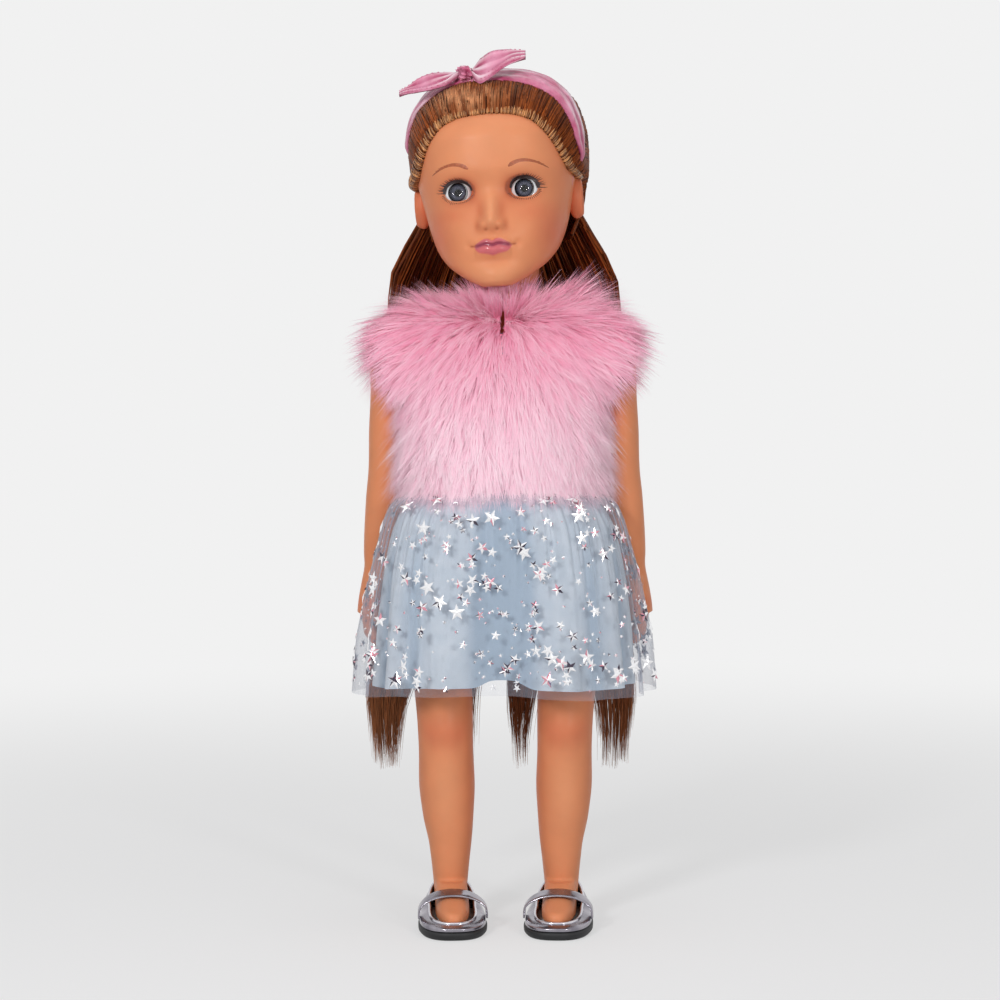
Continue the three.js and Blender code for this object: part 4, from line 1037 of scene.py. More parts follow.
def brow(side):
    """A thin arched brow: one soft line with short hairs along it."""
    inner = (side * (EYE_X - 6.9), EYE_H + 11.1)
    outer = (side * (EYE_X + 13.2), EYE_H + 9.8)
    top = (side * (EYE_X + 1.2), EYE_H + 17.6)
    line = curved(inner, top, outer, 26)
    share = np.linspace(0, 1, 26)
    skins = [stroke(line, 2.0 * (1 - share) ** 0.55 * smooth(share, -0.06, 0.12) + 0.2)]
    rng = np.random.default_rng(11 + side)
    for t in np.linspace(0.02, 0.86, 44):
        base = line[int(t * 25)] + rng.normal(0, 0.14, 2)
        lean = np.array((side * (0.8 + 0.3 * t), 0.8 - 0.9 * t)) * rng.uniform(0.9, 1.7)
        skins.append(stroke(curved(base, base + 0.6 * lean, base + lean, 4), (0.46, 0.42, 0.3, 0.1)))
    return joined(skins)


def upper_lashes(side):
    """A dark line along the upper lid that thickens outwards, and lashes fanned from its outer half."""
    angles = np.linspace(math.radians(176), math.radians(-4), 34)
    edge_x, edge_z = lid_edge(angles)
    rim = stacked(side * (EYE_X + edge_x * 1.04), EYE_H + edge_z * 1.1 + 0.15)
    share = np.linspace(0, 1, 34)
    skins = [stroke(rim, 1.0 + 1.0 * share**0.7 * (1 - 0.7 * smooth(share, 0.9, 1)), 0.2)]
    rng = np.random.default_rng(23 + side)
    for t in np.linspace(0.1, 0.98, 22):
        base = rim[int(t * 33)]
        lean = math.radians(mix(115, -2, t**0.9) + rng.uniform(-6, 6))
        length = mix(1.4, 4.6, t**1.6) * rng.uniform(0.85, 1.1)
        tip = base + length * np.array((side * math.cos(lean), math.sin(lean)))
        swing = base + 0.55 * (tip - base) + np.array((side * 0.35, -0.45)) * t
        skins.append(stroke(curved(base, swing, tip, 6), (0.5, 0.46, 0.38, 0.28, 0.16, 0.05), 0.2))
    return joined(skins)


def lower_lashes(side):
    """Short fine strokes under the eye."""
    skins = []
    rng = np.random.default_rng(37 + side)
    for angle in np.radians(np.linspace(-160, -10, 21)):
        edge_x, edge_z = lid_edge(np.array([angle]))
        base = np.array((side * (EYE_X + 1.1 * edge_x[0]), EYE_H + 1.13 * edge_z[0]))
        out = np.array((side * math.cos(angle) * 0.9, math.sin(angle)))
        tip = base + out * rng.uniform(1.1, 2.0)
        skins.append(stroke(np.linspace(base, tip, 3), (0.34, 0.28, 0.08), 0.14))
    return joined(skins)


def face_details():
    for side, name in SIDES.items():
        for kind, skin, material in (
            ("brow", brow(side), BROW),
            ("upper_lashes", upper_lashes(side), LASH),
            ("lower_lashes", lower_lashes(side), LOWER_LASH),
        ):
            piece(f"{kind}_{name}", skin, material, "head", "vinyl_skin")


# Strands are tubes grown along guide curves
def guides(name, paths):
    """A curve object with one open spline for each path of points."""
    curve = bpy.data.curves.new(name, "CURVE")
    curve.dimensions = "3D"
    for path in paths:
        spline = curve.splines.new("POLY")
        spline.points.add(len(path) - 1)
        four = np.hstack([path * MM, np.ones((len(path), 1))])
        spline.points.foreach_set("co", four.ravel())
    return placed(name, curve)


def new_tree(name, sockets):
    """A geometry tree with named inputs after its geometry, and what it is given."""
    tree = bpy.data.node_groups.new(name, "GeometryNodeTree")
    for label, kind in (("Geometry", "Geometry"), *sockets):
        tree.interface.new_socket(label, in_out="INPUT", socket_type=f"NodeSocket{kind}")
    tree.interface.new_socket("Geometry", in_out="OUTPUT", socket_type="NodeSocketGeometry")
    return tree, add(tree, "NodeGroupInput").outputs


def stored(tree, geometry, name, value, domain="POINT"):
    """The geometry with a value kept on it under a name."""
    inputs = {"Geometry": geometry, "Name": name, "Value": value}
    return add(tree, "GeometryNodeStoreNamedAttribute", inputs, domain=domain).outputs[0]


def drawn(tree, inputs, kind="FLOAT", output=1):
    """A seeded random value for each part of the geometry."""
    return add(tree, "FunctionNodeRandomValue", inputs, data_type=kind).outputs[output]


def strand_tree():
    """Tapered tubes along curves: each gets its own tint, and tip runs from 0 at the root to 1."""
    floats = (("Radius", "Float"), ("Tip Share", "Float"))
    tree, given = new_tree("strands", (*floats, ("Sides", "Int"), ("Seed", "Int"), ("Material", "Material")))
    along = add(tree, "GeometryNodeSplineParameter").outputs["Factor"]
    tinted = stored(tree, given["Geometry"], "tint", drawn(tree, {"Seed": given["Seed"]}), "CURVE")
    marked = stored(tree, tinted, "tip", along)
    scale = ranged(tree, maths(tree, "POWER", along, 3.0), 0.0, 1.0, 1.0, given["Tip Share"])
    inputs = {"Resolution": given["Sides"], "Radius": given["Radius"]}
    ring = add(tree, "GeometryNodeCurvePrimitiveCircle", inputs).outputs[0]
    inputs = {"Curve": marked, "Profile Curve": ring, "Scale": scale}
    tubes = add(tree, "GeometryNodeCurveToMesh", inputs).outputs[0]
    finished = add(tree, "GeometryNodeSetMaterial", {"Geometry": tubes, "Material": given["Material"]})
    real = add(tree, "GeometryNodeRealizeInstances", {0: finished.outputs[0]}).outputs[0]
    add(tree, "NodeGroupOutput", {0: real})
    return tree


def grown(obj, tree, **values):
    """The object with a node tree's result as plain mesh."""
    modifier = obj.modifiers.new("grow", "NODES")
    modifier.node_group = tree
    sockets = {item.name: item.identifier for item in tree.interface.items_tree if item.in_out == "INPUT"}
    for label, value in values.items():
        modifier[sockets[label.replace("_", " ")]] = value
    done = baked(obj)
    done.data.shade_smooth()
    return done


STRANDS = strand_tree()


def strands(name, paths, radius, tip_share, sides, seed, material):
    """Tapered tubes along paths of points in millimetres."""
    return grown(
        guides(name, paths), STRANDS, Radius=radius * MM, Tip_Share=tip_share, Sides=sides, Seed=seed,
        Material=material,
    )


# Hair
hairline = through([
    [0, 0.793],
    [15, 0.786],
    [30, 0.756],
    [38, 0.715],
    [47, 0.655],
    [55, 0.595],
    [66, 0.535],
    [82, 0.508],
    [101, 0.498],
    [113, 0.384],
    [130, 0.262],
    [180, 0.201],
])


def skull_reach(start, directions):
    """How far the plain head's skin lies from points inside it, along unit directions."""
    near, far = np.zeros(len(directions)), np.full(len(directions), 100.0)
    for _ in range(26):
        middle = (near + far) / 2
        p = start + directions * middle[:, None]
        h = p[:, 2] + CHIN_DROP
        half, front, back, mid = head_rows(np.clip(h, 0, HEAD_H))
        y = p[:, 1] + NECK.y - mid
        depth = np.abs(y / np.where(y < 0, mid - front, back - mid)) ** HEAD_POWER
        inside = (np.abs(p[:, 0]) / half) ** HEAD_POWER + depth < 1
        inside &= (h > 0) & (h < HEAD_H)
        near, far = np.where(inside, middle, near), np.where(inside, far, middle)
    return near


def edge_point(turn, grow):
    """A point on the hairline, lifted off the skin; turn in degrees from the front."""
    turn = np.asarray(turn, float)
    h = hairline(np.abs(turn))[..., 0] * HEAD_H
    skin = head_points(h, np.radians(turn), 0.001)
    return skin + unit(skin - HEAD_MID) * grow


def flattened(way):
    """The hair lies thinner on the doll's right."""
    return 1 - 0.42 * smooth(-way[..., 0], 0.15, 0.6)


def combed(start_turn, rank, layer, steps, rng):
    """Paths from the hairline up, back over the crown and down to the nape, lifted by layer."""
    roots = edge_point(start_turn, 0)
    side = np.where(start_turn >= 0, 1.0, -1.0)
    share = np.minimum(np.abs(start_turn) / 101, 1.1)
    end_turn = side * (180 - 66 * share**1.2) + rng.normal(0, 3, len(start_turn))
    ends = head_points(np.full(len(start_turn), 0.27 * HEAD_H), np.radians(end_turn), 0.001)
    a, b = unit(roots - HEAD_MID), unit(ends - HEAD_MID)
    over = stacked(side * 0.95 * share, 0.32 + 0.3 * share, 1.02 - 0.8 * share**1.3)
    wobble = rng.normal(0, 0.014, (len(a), 3))
    paths = []
    for t in np.linspace(0, 1, steps):
        run = (rank + (1 - rank) * t)[:, None]
        way = (1 - run) ** 2 * a + 2 * run * (1 - run) * over + run**2 * b
        way = unit(way + wobble * math.sin(math.pi * t))
        reach = skull_reach(HEAD_MID, way)
        behind_band = smooth(way[:, 1] * reach, 0, 16) * smooth(way[:, 0], 0.1, 0.7)
        rise = layer * flattened(way) * smooth(run[:, 0], -0.02, 0.04) + 3.0 * behind_band
        paths.append(HEAD_MID + way * (reach + rise)[:, None])
    return np.stack(paths, axis=1)


def crown(rng):
    """The strands brushed back over the head, with a wavy painted highlight over the doll's right brow."""
    count = 2300
    start = rng.uniform(-1, 1, count) * 112
    rank = np.where(rng.random(count) < 0.55, 0, rng.uniform(0, 0.6, count))
    layer = HAIR_T + rng.uniform(-1.1, 0.2, count)
    paths = combed(start, rank, layer, 15, rng)
    obj = strands("hair_crown", on_doll(paths), 0.44, 0.7, 3, 3, HAIR)
    x, y, z = head_local(obj).T
    # Painted highlight: a wavy golden patch where light would catch the crown
    wave = smooth(np.sin(1.7 * z + 0.45 * x + 1.5 * np.sin(0.5 * x)), -0.5, 0.6)
    patch = bump(x + 14, 19) * bump(z - 0.89 * HEAD_H + CHIN_DROP, 7.5) * smooth(-y, 8, 22)
    write(obj, "sheen", np.clip(1.25 * patch, 0, 1) * (0.15 + 0.85 * wave))
    ride(obj, "head", "brown_hair")


def hair_roots(rng):
    """Fine plugs of hair along the hairline, like a row of beads: each comes out of the skin, fans and is
    brushed back. They are coarser beside the doll's right temple."""
    plugs, each = 124, 7
    turns = np.repeat(np.linspace(-106, 106, plugs) + rng.normal(0, 0.3, plugs), each)
    size = mix(0.8, 0.46, smooth(turns, -90, -38)) * rng.uniform(0.9, 1.1, len(turns))
    size = (size * (1 - 0.3 * bump(turns + 5, 26)))[:, None]
    roots = edge_point(turns, 0.0)
    along = unit(edge_point(turns + 1.0, 0.0) - roots)
    behind = combed(turns, np.zeros(len(turns)), np.full(len(turns), HAIR_T - 0.3), 22, rng)
    back = unit(behind[:, 2] - behind[:, 0])
    out = unit(roots - HEAD_MID)
    fan = rng.uniform(-1, 1, len(turns))[:, None] * along * 1.5
    path = []
    for up, on, spread in (
        (-0.4, 0.0, 0.15),
        (1.7, -1.0, 0.5),
        (3.9, -0.5, 1.0),
        (4.9, 1.6, 1.0),
        (4.6, 4.0, 0.75),
        (3.9, 7.0, 0.35),
    ):
        path.append(roots + size * (up * out + on * back) + spread * fan * size)
    path += [behind[:, 3] - 0.6 * out, behind[:, 5] - 1.4 * out]
    # The plugs take the paler hair, a painted highlight along the ridge
    obj = strands("hair_roots", on_doll(np.stack(path, axis=1)), 0.3, 0.6, 4, 4, HAIR_ROOTS_HIGHLIGHT)
    ride(obj, "head", "brown_hair")


def hair_cap():
    """The rooted scalp: a shell under the strands, the strands, and the raised roots along the hairline."""
    rows, columns = 34, 120
    turns = face_turns(columns, 0.85)
    edge = hairline(np.abs(np.degrees(turns)))[:, 0] * HEAD_H
    share = np.sin(math.pi / 2 * (np.arange(rows) / (rows - 1)) ** 1.3)[:, None]
    skin = head_points(mix(edge, HEAD_H - 0.5, share), turns, 0.001)
    out = unit(skin - HEAD_MID)
    lift = 0.8 + (HAIR_T - 2.2) * smooth(np.arange(rows), -0.5, 9)[:, None, None]
    outer = skin + out * lift * flattened(out)[..., None]
    inner = (skin + out * 0.3)[::-1]
    points, faces = loft(on_doll(np.concatenate([inner, outer])))
    shell = piece("hair_scalp", (points, faces), HAIR_BASE, "head", "brown_hair", "hair_cap")
    write(shell, "tint", np.full(len(points), 0.5))
    crown(np.random.default_rng(5))
    hair_roots(np.random.default_rng(6))


lock_spread = through([
    [LOCK_END_Z, 68, 3, 44, 44],
    [130, 66, 3, 46, 46],
    [180, 64, 3, 49.5, 48],
    [240, 65, 3, 49.5, 47],
    [290, 66, 2, 49.5, 44],
    [325, 64, 1.5, 51, 37],
    [345, 62, 1.2, 55, 30],
    [372, 50, 1, 57, 24],
    [398, 38, 1, 59, 24],
])
BUNCHES = {LEFT: (0.36, 8, 7, 60, 10.5), RIGHT: (0.1, 20, 3, 67, 9.5)}


def gathered_x(x, share, side, z):
    """Below the skirt each side's hair draws into two loose bunches, one by the leg and one outside it."""
    split, near_x, near_half, outer_x, outer_half = BUNCHES[side]
    drawn = mix(1.0, 0.55, 1 - smooth(z, 84, 130))
    near = near_x + (share / split - 0.5) * 2 * near_half * drawn
    outer = outer_x + ((share - split) / (1 - split) - 0.5) * 2 * outer_half * drawn
    return mix(x, np.where(share < split, near, outer), 1 - smooth(z, 112, 185))


def hang(obj, node):
    """Long hair stands for its CAD node, which is hidden, and is baked in place."""
    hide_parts(node)
    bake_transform(obj)


def long_hair(side, name):
    """The hair that hangs down one side of the back."""
    rng = np.random.default_rng(41 + side)
    count, steps = 1250, 22
    share = rng.random(count) ** 0.9
    deep = rng.random(count)
    wander = rng.normal(0, 1, (count, 3))
    wisp = np.floor(share * 23)
    end = LOCK_END_Z + 9 + 13 * np.sin(2.4 * wisp) + 22 * rng.random(count) ** 1.5
    top = rng.uniform(372, 396, count)
    paths = []
    for t in np.linspace(0, 1, steps):
        z = mix(top, end, t**0.95)
        outer, inner, y_middle, y_edge = lock_spread(z).T
        x = mix(inner, outer, share)
        x = gathered_x(x, share, side, z) + wander[:, 0] * (1.6 * math.sin(3.0 * t) + 1.1 * t**4)
        x = x + 1.5 * np.sin(z / 26 + 5 * share) * smooth(share, 0, 0.15)
        y = mix(y_middle, y_edge, share**2) + deep * 8.5 * smooth(t, -0.1, 0.2) + wander[:, 1] * 0.6
        tucked = 1 - smooth(t, -0.02, 0.14)
        paths.append(stacked(side * np.maximum(x * (1 - 0.14 * tucked), 0.4), y - 11 * tucked, z))
    obj = strands(f"long_hair_{name}", np.stack(paths, axis=1), 0.5, 0.08, 3, 8 + side, HAIR)
    # More golden towards the ends
    write(obj, "sheen", 0.3 * (1 - smooth(points_of(obj)[:, 2], 90, 190)))
    hang(obj, f"hair_lock_{name}")


# Headband and bow
def band_points(angle, across, lift):
    """Points of the hoop: it lies across the head, further forward on the doll's left, and dives under the
    hair above each ear, drawn to a point."""
    share = np.abs(angle) / math.radians(BAND_REACH)
    slim = smooth(np.abs(angle), math.radians(66), math.radians(84))
    dive_from = math.radians(66) + 0.21 * smooth(angle, 0, 1)
    dive = smooth(np.abs(angle), dive_from, dive_from + math.radians(16))
    near_left = smooth(angle, -0.4, 0.6)
    width = mix(mix(BAND_W - 2, BAND_W + 6, near_left), BAND_END_W + 1, share**1.4) * mix(1.0, 0.2, slim)
    y = mix(-18, 0, share**1.5) - 8 * smooth(angle, 0.1, 1.4) + across * width
    start = stacked(0, y, HEAD_MID[2])
    way = stacked(np.sin(angle), 0, np.cos(angle))
    out = HAIR_T + BAND_FIT + lift - 6.6 * dive - 2.2 * smooth(-angle, 0.2, 0.8)
    return start + way * (skull_reach(start, way) + out)[:, None]


def on_skin(outside, inside, tucks):
    """A value for each point of a lofted ribbon: its outer lanes, the lanes turned under, and its ends."""
    under = np.full((len(outside), tucks), inside)
    return np.append(np.hstack([np.clip(outside, 0, 1), under]), (inside, inside))


def headband():
    """A folded satin hoop with a long crease along it, its edges turned under onto the hair."""
    steps, lanes, tucks = 110, 19, 5
    angles = np.radians(np.linspace(-BAND_REACH, BAND_REACH, steps))
    across = np.linspace(-0.5, 0.5, lanes)
    rows = []
    for w in across:
        swell = 0.9 * (1 - (2 * w) ** 4)
        crease = 0.55 * bump(w + 0.1 - 0.12 * np.sin(2.3 * angles), 0.045)
        ripple = 0.16 * np.sin(13 * w + 5 * angles) + 0.1 * np.sin(31 * angles + 9 * w)
        rows.append(band_points(angles, w, BAND_T * 0.5 + swell - crease + ripple))
    rows += [band_points(angles, w, -0.9) for w in np.linspace(0.5, -0.5, tucks)]
    skin = loft(on_doll(np.stack(rows, axis=1)))
    obj = piece("band", skin, SATIN_PINK, "head", "pink_satin", "headband")
    sway = 0.12 * np.sin(2.3 * angles)[:, None]
    # Painted shade along the band's crease and its edges
    shade = 0.7 * bump(across + 0.13 - sway, 0.07) + 0.5 * smooth(across, 0.26, 0.5)
    shade = (shade + 0.3 * smooth(-across, 0.38, 0.5)) * (0.7 + 0.3 * np.sin(9 * angles))[:, None]
    write(obj, "crease", on_skin(shade, 1, tucks))
    # Painted highlight along two lines of the band
    shine = 1.2 * bump(across - 0.08 - sway, 0.08) + 0.7 * bump(across + 0.36 - sway, 0.05)
    shine = shine * (0.55 + 0.45 * np.sin(7 * angles + 0.8))[:, None]
    write(obj, "crest", on_skin(shine, 0, tucks))


KNOT_SEAT = band_points(np.radians([BOW_ANGLE]), -0.35, BAND_T)[0]
KNOT_MID = KNOT_SEAT + unit(KNOT_SEAT - HEAD_MID) * 2.2


def bow_tail(name, side, spine, node):
    """One end of the tied ribbon: it leaves the knot pinched, opens flat and ends in a stitched fold.

    The spine's rows are [reach, rise, forward, half width, tilt in degrees]. It returns the lanes that are
    stitched."""
    curve = through([[i, *row] for i, row in enumerate(spine)])
    rows, lanes = 40, 15
    reach, rise, forward, half, tilt = curve(np.linspace(0, len(spine) - 1, rows)).T
    centre = stacked(side * reach, -forward, rise)
    tilt = np.radians(tilt)
    wide = stacked(0, -np.cos(tilt), np.sin(tilt))
    up = stacked(0, np.sin(tilt), np.cos(tilt))
    share = np.linspace(0, 1, rows)
    pinch = 1 - smooth(share, 0.0, 0.35)
    w = np.linspace(-1, 1, lanes)[:, None]
    pleat = (0.25 + 0.9 * pinch) * np.cos(PLEATS * w + 2 * share) + 0.6 * np.sin(9 * share + 2.5 * w)
    curl = 1.1 * w * w * (1 - pinch)
    thick = 0.55 * np.sqrt(np.maximum(0, 1 - w**6)) + 0.5 * (1 - pinch) * (1 - w * w)
    layers = [
        centre + wide * (w * half)[..., None] + up * (pleat + curl + face * thick)[..., None]
        for face in (1, -1)
    ]
    rings = np.concatenate([layers[0], layers[1][::-1]]).transpose(1, 0, 2) + KNOT_MID
    obj = piece(name, loft(on_doll(rings)), SATIN_PINK, "head", "pink_satin", node)
    # Painted shade in the pleats, deepest where the tail is pinched, and over its whole underside
    folds = 0.5 - 0.5 * np.cos(PLEATS * w.T + 2 * share[:, None])
    outside = folds * (0.3 + 0.6 * pinch)[:, None]
    write(obj, "crease", np.append(np.hstack([outside, 0.8 + 0 * outside]), (1, 1)))
    # Painted highlight on the crests of the pleats
    crest = (1 - folds) ** 3 * (0.55 + 0.45 * np.sin(7 * share + 1))[:, None]
    write(obj, "crest", on_skin(crest, 0, lanes))
    return [rings[8:-1, int((edge + 1) / 2 * (lanes - 1))] for edge in (0.78, 0.5, -0.78)]


def bow():
    """The knot and the two ends of the ribbon, which stand up like ears."""
    points, faces = ball(96, 60)
    x, y, z = points.T
    wrap = 1.1 - 0.24 * np.abs(np.sin(2.6 * y + 1.7 * z + 1.1 * x + 0.6))
    wrap += -0.16 * np.abs(np.sin(5 * z - 4 * y + 3 * x))
    wrap += 0.08 * np.sin(7 * x + 5 * y) + 0.04 * np.sin(17 * y + 9 * z)
    shape = stacked(signed_power(x, 0.8), signed_power(y, 0.75), signed_power(z, 0.8))
    knot = shape * np.array((4.8, 5.6, 4.3)) * wrap[:, None] + KNOT_MID
    obj = piece("knot", (on_doll(knot), faces), SATIN_PINK, "head", "pink_satin", "bow_knot")
    # Painted shade in the knot's dents, and painted highlight on its bulges
    write(obj, "crease", 0.6 * smooth(-wrap, -0.98, -0.78))
    write(obj, "crest", 0.7 * smooth(wrap, 1.0, 1.12))
    right = [
        [3.0, 0.0, 0.0, 2.6, -25],
        [10.0, -2.0, 1.2, 5.0, -48],
        [18.0, -3.8, 1.8, 6.0, -50],
        [25.0, -5.4, 1.4, 5.8, -48],
        [31.0, -7.0, 0.6, 3.6, -42],
        [35.0, -8.2, 0.0, 1.4, -36],
    ]
    left = [
        [3.0, 0.4, 0.0, 2.8, -25],
        [8.5, 0.8, 2.0, 8.4, -58],
        [14.0, 2.6, 2.6, 8.8, -56],
        [20.0, 4.8, 2.0, 7.6, -52],
        [26.0, 6.6, 0.8, 6.0, -46],
        [32.5, 7.0, 0.0, 3.0, -38],
    ]
    threads = bow_tail("bow_tail_right", RIGHT, right, "bow_ear_right")
    threads += bow_tail("bow_tail_left", LEFT, left, "bow_ear_left")
    paths = []
    for lane in threads:
        lane = lane + unit(lane - HEAD_MID) * 0.12
        paths += [lane[i:i + 2] for i in range(0, len(lane) - 2, 3)]
    ride(strands("bow_stitches", on_doll(np.array(paths)), 0.22, 1.0, 4, 2, STITCH), "head", "pink_satin")


# Torso
YOKE_Z = HIP_Z + 23.8
NATURAL_WAIST_Z = 240
CHEST_Z = 285
torso_curve = through([
    [YOKE_Z, 38, -28, 28],
    [224.3, 36.5, -27, 25],
    [NATURAL_WAIST_Z, 33, -24, 20],
    [262.5, 36.8, -26.2, 20.8],
    [CHEST_Z, 41.5, -29, 24],
    [SHOULDER_Z - 17, SHOULDER_X - 3, -28.5, 24.5],
    [SHOULDER_Z - 8, SHOULDER_X + 1.5, -25, 24.5],
    [SHOULDER_Z, SHOULDER_X + 2.5, -21, 23],
    [SHOULDER_Z + 7, SHOULDER_X + 1.5, -17, 20.5],
    [SHOULDER_Z + 12, SHOULDER_X - 4.5, -13, 17.5],
    [SHOULDER_Z + 15.5, SHOULDER_X - 17, -10.5, 16],
    [SHOULDER_Z + 18, SHOULDER_X - 30, -8, 14.5],
])


def torso_rings(heights, grow, count):
    """Rings round the upper torso, grown on every side."""
    half, front, back = torso_curve(heights).T
    rows = stacked(heights, half + grow, front - grow, back + grow, 0)
    rings = body_rings(rows, count, TORSO_POWER)
    rings[..., 0] = np.clip(rings[..., 0], -SHOULDER_X, SHOULDER_X)
    return rings


def torso():
    """The body under the clothes, with its neck and the ball that the head turns on."""
    sides = np.linspace(YOKE_Z, SHOULDER_Z, 40)
    slopes = np.linspace(SHOULDER_Z + 1, SHOULDER_Z + 18, 14)
    upper = loft(torso_rings(np.concatenate([sides, slopes]), 0, 72))
    angle = np.linspace(-math.pi / 2 + 0.12, 0, 14)
    seat = 26
    rows = [[HIP_Z + seat * math.sin(a), HIP_X, -seat * math.cos(a), seat * math.cos(a), 0] for a in angle]
    rows.append([YOKE_Z + 4, HIP_X, -seat - 1, seat + 1, 0])
    lower = loft(body_rings(rows, 48, 7))
    profile = [[18, 321], [16, 327], [13, 333], [12.6, 338]]
    arc = np.linspace(math.asin(-0.54), math.pi / 2 - 0.02, 18)
    profile += [[NECK_BALL_R * math.cos(a), NECK.z + NECK_BALL_R * math.sin(a)] for a in arc]
    neck = loft(turned(profile, 40) + (0, NECK.y, 0))
    obj = fused("torso", [upper, lower, neck], 1.0, 3, VINYL)
    paint(obj, (SHADE, 0.25 * bump(points_of(obj)[:, 2] - 338, 8)))
    ride(obj, "torso", "vinyl_skin", "torso_shell")


# Arms
ARM_X0 = SHOULDER_X + JOINT_GAP
WRIST_Z = SHOULDER_Z - 121
HAND_L = 42
FINGER_SIDES = 16
arm_curve = through([
    [WRIST_Z - HAND_L, ARM_X0 + 27.5, 16, 3, 5.5],
    [WRIST_Z - 0.9 * HAND_L, ARM_X0 + 27.2, 17, 5, 9],
    [WRIST_Z - 0.68 * HAND_L, ARM_X0 + 26, 17.5, 6.4, 11.4],
    [WRIST_Z - 0.42 * HAND_L, ARM_X0 + 24.5, 17.3, 7.0, 11.6],
    [WRIST_Z - 0.2 * HAND_L, ARM_X0 + 22.7, 17, 7.2, 9.6],
    [WRIST_Z, ARM_X0 + 21, 16.5, 7.2, 8],
    [SHOULDER_Z - 111, ARM_X0 + 19.6, 15, 8.6, 9],
    [SHOULDER_Z - 96, ARM_X0 + 17.6, 13, 9.9, 10.8],
    [SHOULDER_Z - 81, ARM_X0 + 16, 11, 10.4, 11.4],
    [SHOULDER_Z - 68, ARM_X0 + 15, 9, 10, 11],
    [SHOULDER_Z - 46, ARM_X0 + 13.5, 6, 10.8, 11.8],
    [SHOULDER_Z - 26, ARM_X0 + 11.8, 4, 11.4, 12.4],
    [SHOULDER_Z - 11, ARM_X0 + 11, 2.5, 12, 13.2],
    [SHOULDER_Z, ARM_X0 + 10.8, SHOULDER_Y, 12, 13.5],
    [SHOULDER_Z + 6.1, ARM_X0 + 10.2, SHOULDER_Y, 11.6, 12.4],
    [SHOULDER_Z + 10.8, ARM_X0 + 8.5, SHOULDER_Y, 9.5, 8.9],
    [SHOULDER_Z + 13.3, ARM_X0 + 6.5, SHOULDER_Y, 6, 4.2],
])


def sausage(path, radii):
    """A rounded finger: rings along a path of points with round ends."""
    path, radii = np.array(path, float), np.array(radii, float)
    along = unit(np.gradient(path, axis=0))
    side = unit(np.cross(along, (0, 1, 0.01)))
    other = np.cross(along, side)
    rings = [hoop(*ring, FINGER_SIDES) for ring in zip(path, radii, side, other)]
    caps = []
    for end, sign in ((0, -1), (-1, 1)):
        reach = sign * along[end] * radii[end]
        for tilt in np.linspace(0.98, 0.2, 5) * math.pi / 2:
            centre, radius = path[end] + reach * math.sin(tilt), radii[end] * math.cos(tilt)
            caps.append(hoop(centre, radius, side[end], other[end], FINGER_SIDES))
    return loft(np.array(caps[:5] + rings + caps[:4:-1]))


def finger(side, y, top, tip, radius, curl):
    x = ARM_X0 + 25.4
    path = [
        [side * x, y, top],
        [side * (x + 0.6), y, mix(top, tip, 0.4)],
        [side * (x + 0.6 - curl * 0.3), y, mix(top, tip, 0.72)],
        [side * (x + 0.2 - curl), y, tip + radius],
    ]
    return sausage(path, [radius * 1.1, radius * 1.05, radius, radius * 0.82])


def arm(side, name):
    """A one-piece arm with a softly bent elbow and a hand of four fingers and a thumb."""
    palm_z = WRIST_Z - 0.5 * HAND_L
    length = np.linspace(palm_z - 3, SHOULDER_Z, 60)
    cap = np.linspace(SHOULDER_Z + 1, SHOULDER_Z + 13.3, 10)
    parts = [loft(limb_rings(arm_curve, np.concatenate([length, cap]), 48, side))]
    tips = WRIST_Z - HAND_L
    for dy, short, radius in ((-8.1, 2.6, 4.0), (-2.8, 0.2, 4.2), (2.6, 0.6, 4.0), (7.8, 4.4, 3.4)):
        parts.append(finger(side, 17.2 + dy * 0.97, palm_z + 6, tips + short, radius * 0.83, 3.2))
    x = ARM_X0 + 22.6
    thumb = [
        [side * x, 9.5, WRIST_Z - 7],
        [side * (x - 0.6), 5.4, WRIST_Z - 15],
        [side * (x - 0.8), 3.0, WRIST_Z - 22],
        [side * (x - 1.4), 2.6, WRIST_Z - 26],
    ]
    parts.append(sausage(thumb, [4.4, 3.9, 3.5, 3.0]))
    obj = sliced(fused(f"arm_{name}_skin", parts, 0.7, 5, VINYL), side * ARM_X0, side)
    x, y, z = points_of(obj).T
    elbow = bump(z - (SHOULDER_Z - 62), 9) * smooth(y, 6, 16)
    knuckles = bump(z - (palm_z + 3), 4) + smooth(-z, -(tips + 9), -(tips + 2))
    inner = (side == LEFT) * smooth(ARM_X0 + 8 - x, 0, 10)
    paint(obj, (BLUSH, 0.35 * elbow + 0.3 * knuckles), (SHADE, 0.105 * inner))
    ride(obj, f"arm_{name}", "vinyl_skin", f"arm_{name}")


